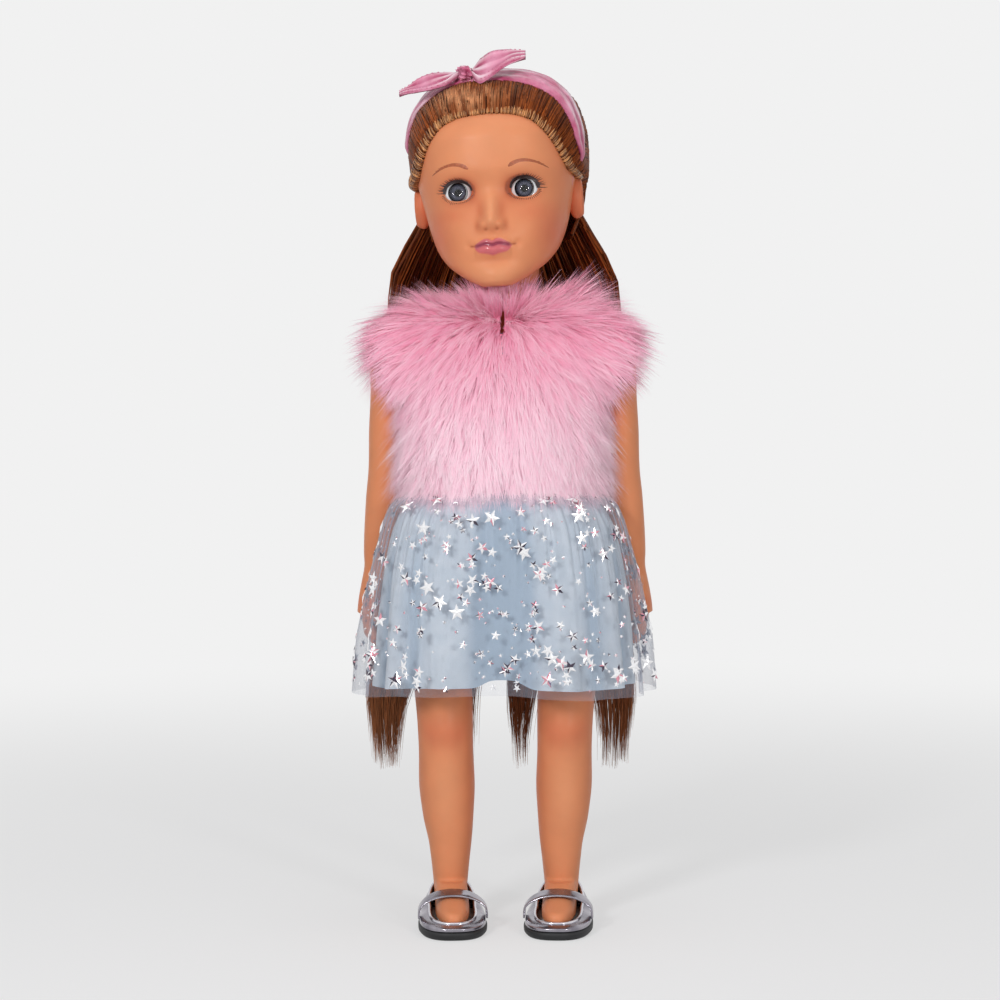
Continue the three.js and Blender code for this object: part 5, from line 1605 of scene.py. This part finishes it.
# Legs
LEG_X0 = HIP_X + JOINT_GAP
KNEE_Z = 106
ANKLE_Z = 32
FOOT_Z = 5.6
LEG_HEAD_R = 21
leg_curve = through([
    [FOOT_Z + 6, SHOE_X + 1.6, 9, 8.4, 9.5],
    [ANKLE_Z - 6, SHOE_X + 1.4, 7.5, 9.6, 11.8],
    [mix(ANKLE_Z, KNEE_Z, 0.12), SHOE_X + 1.4, 6, 11.2, 12.2],
    [mix(ANKLE_Z, KNEE_Z, 0.35), SHOE_X + 2.4, 5.5, 13.6, 14.8],
    [mix(ANKLE_Z, KNEE_Z, 0.6), SHOE_X + 3, 4.8, 15, 16.5],
    [mix(ANKLE_Z, KNEE_Z, 0.84), SHOE_X + 3.3, 2.8, 14.6, 15.9],
    [KNEE_Z, SHOE_X + 3.5, 1, 14.8, 16.2],
    [mix(KNEE_Z, HIP_Z, 0.2), LEG_X0 + 12.5, 1.6, 15.4, 16.7],
    [mix(KNEE_Z, HIP_Z, 0.45), LEG_X0 + 14.8, 1.6, 16, 18.3],
    [HIP_Z - 30, LEG_X0 + 16.3, 1, 16.5, 19.6],
    [HIP_Z - 0.65 * LEG_HEAD_R, LEG_X0 + 16.8, 0.5, 17.2, 20.4],
    [HIP_Z, LEG_X0 + 16.9, 0, 17.4, LEG_HEAD_R],
    [HIP_Z + 0.55 * LEG_HEAD_R, LEG_X0 + 16, 0, 16.4, 0.84 * LEG_HEAD_R],
    [HIP_Z + 0.86 * LEG_HEAD_R, LEG_X0 + 13.5, 0, 13, 0.52 * LEG_HEAD_R],
    [HIP_Z + LEG_HEAD_R, LEG_X0 + 11, 0, 8, 0.2 * LEG_HEAD_R],
])


def shoe_place(side, x, y, z):
    """A place in the shoe's own frame, turned in towards the other foot."""
    turn = math.radians(TOE_IN)
    across = x * math.cos(turn) + y * math.sin(turn)
    along = y * math.cos(turn) - x * math.sin(turn)
    return stacked(side * (SHOE_X + across), SHOE_Y + along, z)


def edge_height(along):
    """The upper's top edge, low at the toe and high at the heel."""
    return mix(TOE_CAP_Z - 1.2, SHOE_TOP_Z, (0.5 + 0.5 * along) ** 2.2)


def shoe_ring(side, height, inset, tuck=0.0):
    """The shoe's outline, set in by inset and drawn in by tuck, most of all at the toe. Its height is a
    number, or a function of the place along the shoe, from -1 at the toe to 1 at the heel."""
    angle = side * circle(96)
    along = signed_power(np.sin(angle), 0.9)
    drawn = inset + tuck * (1 - 0.6 * np.maximum(along, 0))
    across = (SHOE_W / 2 - drawn) * signed_power(np.cos(angle), 0.75) * (1 - 0.1 * along)
    z = height(along) if callable(height) else height
    return shoe_place(side, across, along * (SHOE_L / 2 - drawn), z)


def foot(side):
    """Rings up the foot, which is narrower than the shoe."""
    rows = through([
        [FOOT_Z, -24, 27, 7.4],
        [FOOT_Z + 2.2, -26.4, 29, 9],
        [FOOT_Z + 6, -25.4, 29.6, 9],
        [FOOT_Z + 9.4, -17.5, 29.4, 8.8],
        [FOOT_Z + 13, -7.5, 29, 8.6],
        [FOOT_Z + 17.5, 2, 28.4, 8.4],
    ])
    heights = np.linspace(FOOT_Z, FOOT_Z + 17.5, 24)
    toe, heel, half = rows(heights).T[..., None]
    angle = side * circle(48)
    along = np.sin(angle)
    across = half * signed_power(np.cos(angle), 0.85) * (1 - 0.06 * along)
    return shoe_place(side, across, mix(toe, heel, 0.5 + 0.5 * along), heights[:, None])


def leg(side, name):
    """A one-piece leg with a soft knee and a plain foot, flat where it turns against the torso."""
    heights = np.linspace(FOOT_Z + 6, HIP_Z + LEG_HEAD_R, 110)
    rings = limb_rings(leg_curve, heights, 72, side)
    x, y, z = np.moveaxis(rings, -1, 0)
    middle = side * (SHOE_X + 3.4)
    cap = 1.3 * bump(x - middle, 8) * bump(z - KNEE_Z, 7) * (y < 0)
    dents = 0.7 * bump(np.abs(x - middle) - 9, 3) * bump(z - KNEE_Z + 7, 5) * (y < 0)
    rings[..., 1] -= cap - dents

    def flatten(bm):
        for vert in bm.verts:
            if vert.co.z > (HIP_Z - 30) * MM and side * vert.co.x < LEG_X0 * MM:
                vert.co.x = side * LEG_X0 * MM

    obj = reshaped(fused(f"leg_{name}_skin", [loft(rings), loft(foot(side))], 0.9, 4, VINYL), flatten)
    x, y, z = points_of(obj).T
    knee = bump(z - KNEE_Z + 2, 10) * smooth(-y, 4, 14)
    # Painted highlight down the front of the shin
    shin = bump(z - 70, 26) * smooth(-y, 2, 12) * bump(x - middle, 7)
    back = smooth(np.abs(x - middle), 8, 16)
    paint(obj, (BLUSH, 0.32 * knee), (PAINTED_HIGHLIGHT, 0.6 * shin), (SHADE, 0.25 * back))
    ride(obj, f"leg_{name}", "vinyl_skin", f"leg_{name}")


# Shoes
def swept(path, radius):
    """A round piping along a closed path."""
    along = unit(np.roll(path, -1, axis=0) - np.roll(path, 1, axis=0))
    side = unit(np.cross(along, (0, 0, 1.0)))
    other = np.cross(along, side)
    return tube(np.array([hoop(p, radius, s, o, 10) for p, s, o in zip(path, side, other)]))


def strap(side, name):
    """The strap that lies over the instep, with its ends on the outside of the upper."""
    low, slope = SOLE_T + 3, 0.3
    bend = low + 5.4
    arch = through([[-1, low], [-0.84, bend], [0, FOOT_Z + 14], [0.84, bend], [1, low]])
    share = np.linspace(-1, 1, 48)[:, None]
    turn = math.pi / 2 * share
    lane = np.linspace(-1, 1, 7)
    lift = np.append(STRAP_T * (1 - 0.35 * lane**6), 0 * lane)
    along = STRAP_HALF * np.append(lane, -lane)
    x = (SHOE_W / 2 + 0.1) * signed_power(np.sin(turn), 0.9) + np.sin(turn) * lift
    z = arch(share)[..., 0] + np.cos(turn) * (lift + slope * along)
    skin = loft(shoe_place(side, x, STRAP_Y + along, z))
    piece(f"strap_{name}", skin, SILVER, f"leg_{name}", "silver_shoe", f"shoe_strap_{name}")


def shoe(side, name):
    """A low silver shoe: an upper rolled in over the foot, a piped edge, a black sole, insole and strap."""
    body = f"leg_{name}"
    tucks = through([[0, 0.5], [0.1, 0.05], [0.45, 0.1], [0.7, 1.2], [0.88, 2.9], [1, EDGE_TUCK]])
    bottom = SOLE_T + 0.3

    def wall(shares, lower, inset):
        """Rings of the upper, from its foot at share 0 to its edge at share 1."""
        return [
            shoe_ring(side, lambda a, t=t: mix(bottom, edge_height(a) - lower, t), inset, tucks(t)[0])
            for t in shares
        ]

    rings = wall(np.linspace(0, 1, 22), 0, 0) + wall(np.linspace(1, 0, 14), 1.2, SHOE_T)
    piece(f"shoe_{name}_outer", tube(np.array(rings)), SILVER, body, "silver_shoe", f"shoe_upper_{name}")
    opening = shoe_ring(side, lambda a: edge_height(a) + 0.15, 0.5, EDGE_TUCK)
    piece(f"shoe_piping_{name}", swept(opening, 0.85), PIPING_HIGHLIGHT, body, "silver_shoe")
    profile = ((0.0, 0.5), (0.5, 0.0), (1.2, -0.5), (2.6, -0.6), (3.4, -0.6), (SOLE_T, -0.2))
    sole = loft(np.array([shoe_ring(side, z, inset) for z, inset in profile]))
    piece(f"sole_{name}", sole, BLACK_SOLE, body, "black_sole", f"shoe_sole_{name}")
    sheet = loft(np.array([shoe_ring(side, SOLE_T + z, SHOE_T + 0.4) for z in (0.35, 0.8, 1.3)]))
    piece(f"insole_{name}", sheet, LINER, body, "white_tape", f"shoe_insole_{name}")
    strap(side, name)


# Dress
def satin_band(name, outer, inner, node):
    """A part of the dress that runs round the torso, from its outer and inner rings."""
    rings = np.concatenate([outer, inner[::-1]])
    piece(name, tube(rings), SATIN_BLUE, "torso", "blue_satin", node)


def bodice():
    """The dress's sleeveless top, on its waistband."""
    low = NATURAL_WAIST_Z - 3.5
    heights = np.linspace(low, SHOULDER_Z + 5, 46)
    satin_band("bodice", torso_rings(heights, 1.5, 96), torso_rings(heights, 0.4, 96), "dress_bodice")
    heights = np.linspace(low, low + 10, 8)
    outer = torso_rings(heights, 3.0, 96)
    level_out = unit(outer * (1, 1, 0) + 1e-9) * (1, 1, 0)
    outer = outer + level_out * (0.35 * np.sin(np.linspace(0, math.pi, 8))[:, None, None])
    satin_band("waistband", outer, torso_rings(heights, 1.8, 96), "dress_waistband")


# Skirt
tulle_curve = through([
    [HEM_Z, 81, -62, 41, SKIRT_MID],
    [mix(HEM_Z, WAIST_Z, 0.22), 79, -59.5, 41, SKIRT_MID],
    [mix(HEM_Z, WAIST_Z, 0.46), 74, -54, 40, SKIRT_MID],
    [mix(HEM_Z, WAIST_Z, 0.7), 67, -50, 38.5, SKIRT_MID],
    [WAIST_Z - 11, 59.5, -46, 36, SKIRT_MID],
    [WAIST_Z - 4, 50, -39, 31, SKIRT_MID / 2],
    [WAIST_Z, 39, -30, 26, 0],
])
lining_curve = through([
    [LINING_HEM_Z, 70, -50, 36, SKIRT_MID],
    [mix(LINING_HEM_Z, WAIST_Z, 0.4), 66, -47, 35.5, SKIRT_MID],
    [mix(LINING_HEM_Z, WAIST_Z, 0.75), 59, -43, 34.5, SKIRT_MID],
    [WAIST_Z - 12, 52, -39.5, 32.5, SKIRT_MID],
    [WAIST_Z - 5, 43.5, -33.5, 28.5, SKIRT_MID / 2],
    [WAIST_Z, 36.4, -27, 23.2, 0],
])


def inside_arm(x, y, z, gap):
    """The skirt hangs inside the arms, so its sides are drawn in where an arm hangs."""
    middle_x, middle_y, half_x, half_y = np.moveaxis(arm_curve(z), -1, 0)
    beside = smooth(y, middle_y - half_y - 18, middle_y - half_y - 7)
    hung = smooth(z, WRIST_Z - HAND_L - 16, WRIST_Z - HAND_L + 2)
    limit = mix(2 * np.abs(x) + 1, middle_x - half_x - gap, beside * hung)
    return np.sign(x) * np.minimum(np.abs(x), limit)


def fold_wave(angle):
    """0 on the crown of a fold and 1 in the hollow between two, unevenly spaced round the skirt."""
    drift = 0.9 * np.sin(2 * angle) + 0.8 * np.cos(3 * angle)
    return 0.5 + 0.5 * np.cos(SKIRT_FOLDS * (angle + math.pi / 2) + drift)


def skirt_points(angle, height, curve, low, fold, gathers, gap):
    """Points of a hanging skirt: round folds that deepen downwards, fine gathers that fade."""
    half, front, back, mid = np.moveaxis(curve(height), -1, 0)
    x, y = oval(angle, SKIRT_POWER, half, front, back, mid)
    down = smooth(WAIST_Z - height, 4, WAIST_Z - low)
    wave = fold_wave(angle)
    centre = 1.3 * bump(np.sin(angle) + 1, 0.02)
    fine = np.cos(47 * angle + 2.1 * np.sin(5 * angle)) + 0.6 * np.cos(83 * angle + 1)
    ripple = gathers * (1 - 0.75 * smooth(down, 0.05, 0.7)) * fine * smooth(WAIST_Z - height, -1, 6)
    hem = 0.8 * smooth(down, 0.8, 1.0) * np.cos(21 * angle + 0.6)
    scale = 1 - (fold * down * (wave + centre) + ripple + hem) / np.hypot(x, y - mid)
    x, y = x * scale, mid + (y - mid) * scale
    return inside_arm(x, y, height, gap), y


def leg_share(x, y, z):
    """How far a point of the skirt follows the leg on its side: none at the waist and the middle line,
    most at the front of the hem, and little behind, where the skirt hangs free."""
    drop = through([[-70, HEM_FOLLOWS], [-30, 0.55], [0, 0.33], [20, 0.09], [36, 0]])(z - HIP_Z)[:, 0]
    behind = smooth(y, -34, 24)
    return drop * mix(1.0, 0.42, behind) * smooth(np.abs(x), 0.0, 15)


def measured(points, axis):
    """Lengths along a grid of points, from its first row or column."""
    steps = np.linalg.norm(np.diff(points, axis=axis), axis=-1)
    return np.insert(np.cumsum(steps, axis=axis), 0, 0, axis=axis)


def half_faces(side, rows, columns):
    """The quads of a grid on one side of the doll, facing outwards on either."""
    faces = grid_faces(rows, columns, closed=False)
    return [face[::-1] for face in faces] if side == LEFT else faces


def follow_leg(obj):
    """The piece is baked in place; each point's share of the leg on its side is worked out but not used."""
    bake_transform(obj)
    x, y, z = points_of(obj).T
    shares = leg_share(x, y, z).astype(np.float32)


def half_skirt(layer, side, material, slot, hem_lift, notch, **shape):
    """One half of a skirt layer, from the middle of the front round to the middle of the back."""
    columns, rows = 170, 64
    angle = -math.pi / 2 + side * np.linspace(0, math.pi, columns)
    t = np.linspace(0, 1, rows)[:, None]
    edge = shape["low"] + hem_lift * (0.5 + 0.5 * np.sin(3 * angle + 1.0))
    edge = edge + notch * bump(np.sin(angle) + 1, 0.012)
    height = mix(WAIST_Z, edge, t**1.05)
    x, y = skirt_points(angle, height, **shape)
    x[:, [0, -1]] = 0
    points = stacked(x, y, height)
    skin = (points.reshape(-1, 3), half_faces(side, rows, columns))
    obj = make(f"{layer}_{SIDES[side]}", skin, material)
    run, drop = measured(points, 1), measured(points, 0)
    write_uv(obj, stacked(run, drop).reshape(-1, 2))
    # Painted shade in the hollows of the folds and down the middle of the front, laid by the satin lining
    hollow = fold_wave(angle) ** 2 * smooth(t, 0.05, 0.6) + bump(np.sin(angle) + 1, 0.02)
    write(obj, "crease", np.clip(hollow, 0, 1).ravel())
    follow_leg(obj)
    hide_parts(f"skirt_{layer}")
    return points


def star_shape(seed):
    """A five-pointed foil star, slightly domed, with a shade for each of its ten facets."""
    points, faces = [[0, 0, 0.09]], []
    for k in range(10):
        reach = 0.5 if k % 2 == 0 else 0.2
        angle = TAU * k / 10
        points.append([reach * math.cos(angle), reach * math.sin(angle), 0.0])
        faces.append([0, k + 1, (k + 1) % 10 + 1])
    return np.array(points), faces, np.random.default_rng(seed).random(10)


def scatter_tree():
    """Copies of small shapes strewn over a surface. Each points along its x the way it is combed, by
    Flatness laid down onto the surface, and has its own size and tint."""
    floats = [(name, "Float") for name in ("Density", "Smallest", "Largest", "Jitter", "Flatness", "Lift")]
    others = (("Seed", "Int"), ("Shapes", "Collection"), ("Material", "Material"))
    tree, given = new_tree("strewn", (*floats, *others))

    def vectors(operation, a, b, output="Vector"):
        second = "Scale" if operation == "SCALE" else 1
        return add(tree, "ShaderNodeVectorMath", {0: a, second: b}, operation=operation).outputs[output]

    def named(name, kind="FLOAT"):
        inputs = {"Name": name}
        return add(tree, "GeometryNodeInputNamedAttribute", inputs, data_type=kind).outputs[0]

    inputs = {"Mesh": given["Geometry"], "Density": given["Density"], "Seed": given["Seed"]}
    strewn = add(tree, "GeometryNodeDistributePointsOnFaces", inputs).outputs
    normal = strewn["Normal"]
    spread = vectors("SCALE", (1, 1, 1), given["Jitter"])
    limits = {0: vectors("SCALE", spread, -1.0), 1: spread, "Seed": given["Seed"]}
    way = vectors("ADD", named("comb", "FLOAT_VECTOR"), drawn(tree, limits, "FLOAT_VECTOR", 0))
    off = maths(tree, "MULTIPLY", vectors("DOT_PRODUCT", way, normal, "Value"), given["Flatness"])
    flat = vectors("SUBTRACT", way, vectors("SCALE", normal, off))
    inputs = {"Primary Axis": flat, "Secondary Axis": normal}
    axes = {"primary_axis": "X", "secondary_axis": "Z"}
    turned_to = add(tree, "FunctionNodeAxesToRotation", inputs, **axes).outputs[0]
    size = drawn(tree, {2: given["Smallest"], 3: given["Largest"], "Seed": 7})
    size = maths(tree, "MULTIPLY", size, named("length"))
    inputs = {"Collection": given["Shapes"], "Separate Children": True, "Reset Children": True}
    shapes = add(tree, "GeometryNodeCollectionInfo", inputs).outputs[0]
    inputs = {"Geometry": strewn["Points"], "Offset": vectors("SCALE", normal, given["Lift"])}
    lifted = add(tree, "GeometryNodeSetPosition", inputs).outputs[0]
    inputs = {"Points": lifted, "Instance": shapes, "Pick Instance": True}
    inputs.update({"Rotation": turned_to, "Scale": size})
    copies = add(tree, "GeometryNodeInstanceOnPoints", inputs).outputs[0]
    tinted = stored(tree, copies, "tint", drawn(tree, {"Seed": 5}), "INSTANCE")
    real = add(tree, "GeometryNodeRealizeInstances", {0: tinted}).outputs[0]
    finished = add(tree, "GeometryNodeSetMaterial", {"Geometry": real, "Material": given["Material"]})
    add(tree, "NodeGroupOutput", {0: finished.outputs[0]})
    return tree


STREWN = scatter_tree()


def star_set():
    """A collection, outside the scene, of stars to strew."""
    collection = bpy.data.collections.new("stars")
    for i in range(5):
        points, faces, shades = star_shape(80 + i)
        mesh = bpy.data.meshes.new(f"star_{i}")
        mesh.from_pydata((points * MM).tolist(), [], faces)
        mesh.attributes.new("facet", "FLOAT", "FACE").data.foreach_set("value", shades.astype(np.float32))
        collection.objects.link(bpy.data.objects.new(f"star_{i}", mesh))
    return collection


def clear_set(collection):
    for obj in list(collection.objects):
        bpy.data.objects.remove(obj)
    bpy.data.collections.remove(collection)


def merged(name, objects, material):
    """Several meshes as one object, of one material."""
    bm = bmesh.new()
    for obj in objects:
        bm.from_mesh(obj.data)
    for face in bm.faces:
        face.material_index = 0
    mesh = bpy.data.meshes.new(name)
    bm.to_mesh(mesh)
    bm.free()
    mesh.materials.append(material)
    for obj in objects:
        bpy.data.objects.remove(obj)
    return placed(name, mesh)


def strew_stars(side, name, points):
    """Foil stars of several sizes on one half of the tulle."""
    kept = points[3:-1:2, ::2]
    faces = half_faces(side, *kept.shape[:2])
    stars = star_set()
    sizes = ((0.0042, 6.5, 9.6, 3), (0.007, 3.4, 5.8, 5), (0.011, 1.4, 2.6, 9))
    layers = []
    for density, small, large, seed in sizes:
        carrier = make(f"stars_{name}_{seed}", (kept.reshape(-1, 3), faces))
        count = len(carrier.data.vertices)
        write(carrier, "comb", np.tile((0, 0, 1), (count, 1)), "FLOAT_VECTOR", "vector")
        write(carrier, "length", np.ones(count))
        layers.append(grown(
            carrier, STREWN, Density=density / MM**2, Smallest=small, Largest=large, Jitter=3.0, Flatness=1.0,
            Lift=0.3 * MM, Seed=seed + 20 * side, Shapes=stars, Material=FOIL,
        ))
    clear_set(stars)
    obj = merged(f"stars_{name}", layers, FOIL)
    obj.data.shade_flat()
    follow_leg(obj)


def skirt():
    """A satin lining under tulle strewn with stars, each in a left and a right half."""
    for side, name in SIDES.items():
        half_skirt(
            "lining", side, SATIN_BLUE, "blue_satin", hem_lift=2.0, notch=4.0,
            curve=lining_curve, low=LINING_HEM_Z, fold=4.5, gathers=0.5, gap=3.3,
        )
        points = half_skirt(
            "tulle", side, TULLE, "star_tulle", hem_lift=2.5, notch=0.0,
            curve=tulle_curve, low=HEM_Z, fold=6, gathers=0.6, gap=1.2,
        )
        strew_stars(side, name, points)


# Fur gilet
def strand_skin(root, lean, length, width, droop):
    """One tapered fur strand as a narrow blade: x is the combed way and z is off the cloth."""
    stations = np.array((0, 0.3, 0.62, 1.0))
    rise = length * (0.3 * stations - droop * stations**2)
    along = length * stations * 0.94
    points = []
    for k in range(3):
        half = width * (1, 0.85, 0.6)[k] / 2
        for sign in (-1, 1):
            points.append(root + np.array((along[k], lean * stations[k] ** 1.5 + sign * half, rise[k])))
    points.append(root + np.array((along[3], lean, rise[3])))
    faces = [[0, 2, 3, 1], [2, 4, 5, 3], [4, 6, 5]]
    return np.array(points), faces, np.array((0, 0, 0.3, 0.3, 0.62, 0.62, 1.0))


def tuft(seed):
    """A tuft: strands that start apart and draw together towards the tip."""
    rng = np.random.default_rng(seed)
    skins, tips = [], []
    for _ in range(TUFT_STRANDS):
        root = np.array((rng.uniform(-1.4, 1.4), rng.uniform(-1.5, 1.5), rng.uniform(-0.2, 0.4)))
        lean = -root[1] * 0.7 + rng.normal(0, 1.5)
        length = PILE * rng.uniform(0.66, 1.12)
        width, droop = rng.uniform(0.3, 0.56), rng.uniform(0.2, 0.36)
        *skin, tip = strand_skin(root, lean, length, width, droop)
        skins.append(skin)
        tips.append(tip)
    return *joined(skins), np.concatenate(tips)


def tuft_set():
    """A collection, outside the scene, of tufts to strew."""
    collection = bpy.data.collections.new("tufts")
    for i in range(6):
        points, faces, tips = tuft(60 + i)
        obj = make(f"tuft_{i}", (points, faces))
        write(obj, "tip", tips)
        bpy.context.scene.collection.objects.unlink(obj)
        collection.objects.link(obj)
    return collection


def gilet_shape(heights, angles, grow):
    """The gilet's cloth: straight down from the chest, and out over the shoulders."""
    half, front, back = np.moveaxis(torso_curve(np.maximum(heights, CHEST_Z)), -1, 0)
    x, y = oval(angles, TORSO_POWER, half + 2.2 + grow, front - 3.5 - grow, back + 3.5 + grow)
    z = heights + (1.8 + 0.45 * grow) * smooth(heights, SHOULDER_Z, SHOULDER_Z + 12)
    return stacked(np.clip(x, -SHOULDER_X + 0.2, SHOULDER_X - 0.2), y, z)


def face_away(obj):
    """Faces point away from the body's axis."""
    first = obj.data.polygons[len(obj.data.polygons) // 3]
    if first.normal.dot(Vector((first.center.x, first.center.y, 0))) < 0:
        obj.data.flip_normals()


def combing(points, normals):
    """The pile's lie at points of the cloth: it spreads from the neck, down in front, off the cloth at the
    sides and out over the arms. With it, the pile's length and how pale it is."""
    x, y, z = points.T
    wide, side, front = np.abs(x), np.sign(x), np.sign(y)
    sideways = np.abs(normals[:, 0])
    over_arm = smooth(wide, 32, 43) * smooth(z, CHEST_Z + 5, CHEST_Z + 26)
    sway = 0.16 * np.sin(z / 13 + 1.3 * side) * np.cos(x / 10) + 0.1 * np.sin(x / 4 + z / 9)
    fall = 26 + np.maximum(SHOULDER_Z + 12 - z, 0)
    spread = mix(0.35, 0.95, smooth(z, CHEST_Z - 20, SHOULDER_Z))
    lying = unit(stacked(spread * x, 0, -fall)) + stacked(sway, 0, 0)
    lying = unit(lying - (lying * normals).sum(axis=1)[:, None] * normals)
    way = lying + (0.16 + 0.5 * sideways)[:, None] * normals
    drop = mix(-0.9, -0.5, smooth(z, CHEST_Z + 4, SHOULDER_Z + 12))
    outward = stacked(side, 0.12 * front, drop)
    way = mix(way, outward, over_arm[:, None])
    collar = smooth(z, SHOULDER_Z + 5, SHOULDER_Z + 17) * (1 - smooth(wide, 32, 46))
    off_neck = smooth(wide, 0, 24)
    upward = stacked(0.75 * side * off_neck, 0.45 * front, 0.85 - 0.35 * off_neck)
    way = mix(way, upward, collar[:, None])
    near_hem = 1 - smooth(z, GILET_HEM_Z, GILET_HEM_Z + 18)
    length = 1.0 + 0.42 * over_arm + 0.1 * sideways - 0.15 * collar + 0.45 * collar * bump(x - 30, 9)
    length = mix(length, (GILET_HEM_Z - FUR_HEM_Z) / PILE + 0.25 * sideways, near_hem)
    return unit(way), length, smooth(-z, -325, -262)


def gilet_panel(name, angle_from, angle_to, node, seed, density=0.6):
    """One fur panel: its backing cloth and its pile."""
    columns, rows = 60, 56
    angles = np.linspace(angle_from, angle_to, columns)
    heights = np.linspace(GILET_HEM_Z, SHOULDER_Z + 16.5, rows)[:, None]
    outer = gilet_shape(heights, angles, 3.2)
    inner = gilet_shape(heights, angles, 1.0)
    skin = loft(np.concatenate([outer, inner[:, ::-1]], axis=1))
    piece(f"{name}_cloth", skin, BACKING, "torso", "pink_fur", node)
    points = outer.reshape(-1, 3)
    carrier = make(name, (points, grid_faces(rows, columns, closed=False)))
    face_away(carrier)
    comb, length, fade = combing(points, per_point(carrier, "normal"))
    write(carrier, "comb", comb, "FLOAT_VECTOR", "vector")
    write(carrier, "length", length)
    write(carrier, "fade", fade)
    tufts = tuft_set()
    pile = grown(
        carrier, STREWN, Density=density / MM**2, Smallest=0.75, Largest=1.15, Jitter=0.3, Flatness=0.0,
        Lift=-0.5 * MM, Seed=seed, Shapes=tufts, Material=FUR,
    )
    clear_set(tufts)
    ride(pile, "torso", "pink_fur")


def gilet():
    front, slit = -math.pi / 2, 0.012
    gilet_panel("fur_front_left", front + slit, 0.09, "gilet_front_left", 1)
    gilet_panel("fur_front_right", front - slit, -math.pi - 0.09, "gilet_front_right", 2)
    gilet_panel("fur_back", 0.10, math.pi - 0.10, "gilet_back", 3, density=0.42)


# Camera, lights and floor
AMBIENT = 0.28
BACKDROP = 0.88


def place_camera():
    data = bpy.data.cameras.new("camera")
    data.lens = LENS
    camera = placed("camera", data)
    camera.matrix_world = (
        Matrix.Translation(Vector(CAMERA) * MM)
        @ Matrix.Rotation(math.radians(CAMERA_AROUND), 4, "Z")
        @ Matrix.Rotation(math.radians(90 - CAMERA_DOWN), 4, "X")
        @ Matrix.Rotation(math.radians(CAMERA_ROLL), 4, "Z")
    )
    bpy.context.scene.camera = camera


def lamp(name, place, size, watts):
    """A square lamp that shines at the middle of the doll."""
    data = bpy.data.lights.new(name, "AREA")
    data.size = size
    data.energy = watts
    obj = placed(name, data)
    obj.location = place
    aim = Vector((0, 0, 0.27)) - obj.location
    obj.rotation_euler = aim.to_track_quat("-Z", "Y").to_euler()


def white_behind(tree, lit, strength):
    """Camera, glossy and see-through rays meet a plain pale colour, and other rays the lit one."""
    rays = add(tree, "ShaderNodeLightPath").outputs
    seen = maths(tree, "MAXIMUM", rays["Is Camera Ray"], rays["Is Glossy Ray"])
    seen = maths(tree, "MAXIMUM", seen, rays["Is Transmission Ray"])
    return ranged(tree, seen, 0.0, 1.0, lit, strength)


def floor_paint():
    """Pale paint near the doll that runs into the background further off."""
    material, tree, main = shader("floor", Roughness=0.8)
    main.inputs["Base Color"].default_value = rgb(246, 246, 248)
    where = coordinates(tree)
    distance = add(tree, "ShaderNodeVectorMath", {0: where}, operation="LENGTH").outputs["Value"]
    inputs = {0: distance, 1: 0.2, 2: 1.3, 3: 0.6}
    far = add(tree, "ShaderNodeMapRange", inputs, interpolation_type="SMOOTHSTEP").outputs[0]
    glow = add(tree, "ShaderNodeEmission", {"Strength": white_behind(tree, AMBIENT, BACKDROP)}).outputs[0]
    both = add(tree, "ShaderNodeMixShader", {0: far, 1: main.outputs[0], 2: glow}).outputs[0]
    tree.links.new(both, tree.nodes["Material Output"].inputs["Surface"])
    return material


def studio():
    """A plain pale floor that runs into a plain pale background, and soft lamps in front."""
    scene = bpy.context.scene
    scene.view_settings.view_transform = "Standard"
    world = bpy.data.worlds.new("studio")
    scene.world = world
    world.use_nodes = True
    tree = world.node_tree
    sky = tree.nodes["Background"]
    sky.inputs["Color"].default_value = (1, 1, 1, 1)
    tree.links.new(white_behind(tree, AMBIENT, BACKDROP), sky.inputs["Strength"])
    reach, low = 6000, -0.3
    square = [[x * reach, y * reach, low] for x, y in ((-1, -1), (1, -1), (1, 1), (-1, 1))]
    make("floor", (square, [[0, 1, 2, 3]]), floor_paint())
    lamp("key", (-0.64, -1.32, 0.8), 0.24, 9.9)
    lamp("fill", (0.76, -1.38, 0.5), 0.2, 5.6)
    lamp("top", (0.1, -0.2, 1.5), 0.9, 2.8)


def carried_over():
    """The CAD nodes that stay, with their finishes."""
    finishes = {"dress_back_fastener": TAPE, "gilet_fastener": TAPE, "neck_cup": NECK_PLUG}
    for kind in ("eye_cup", "shoulder_plug", "hip_plug"):
        finishes.update({f"{kind}_{name}": PLUG for name in SIDES.values()})
    for node, material in finishes.items():
        for slot in frame["nodes"][node].material_slots:
            slot.material = material


place_camera()
studio()
head()
eyes()
face_details()
hair_cap()
headband()
bow()
torso()
bodice()
skirt()
gilet()
for side, name in SIDES.items():
    long_hair(side, name)
    arm(side, name)
    leg(side, name)
    shoe(side, name)
carried_over()
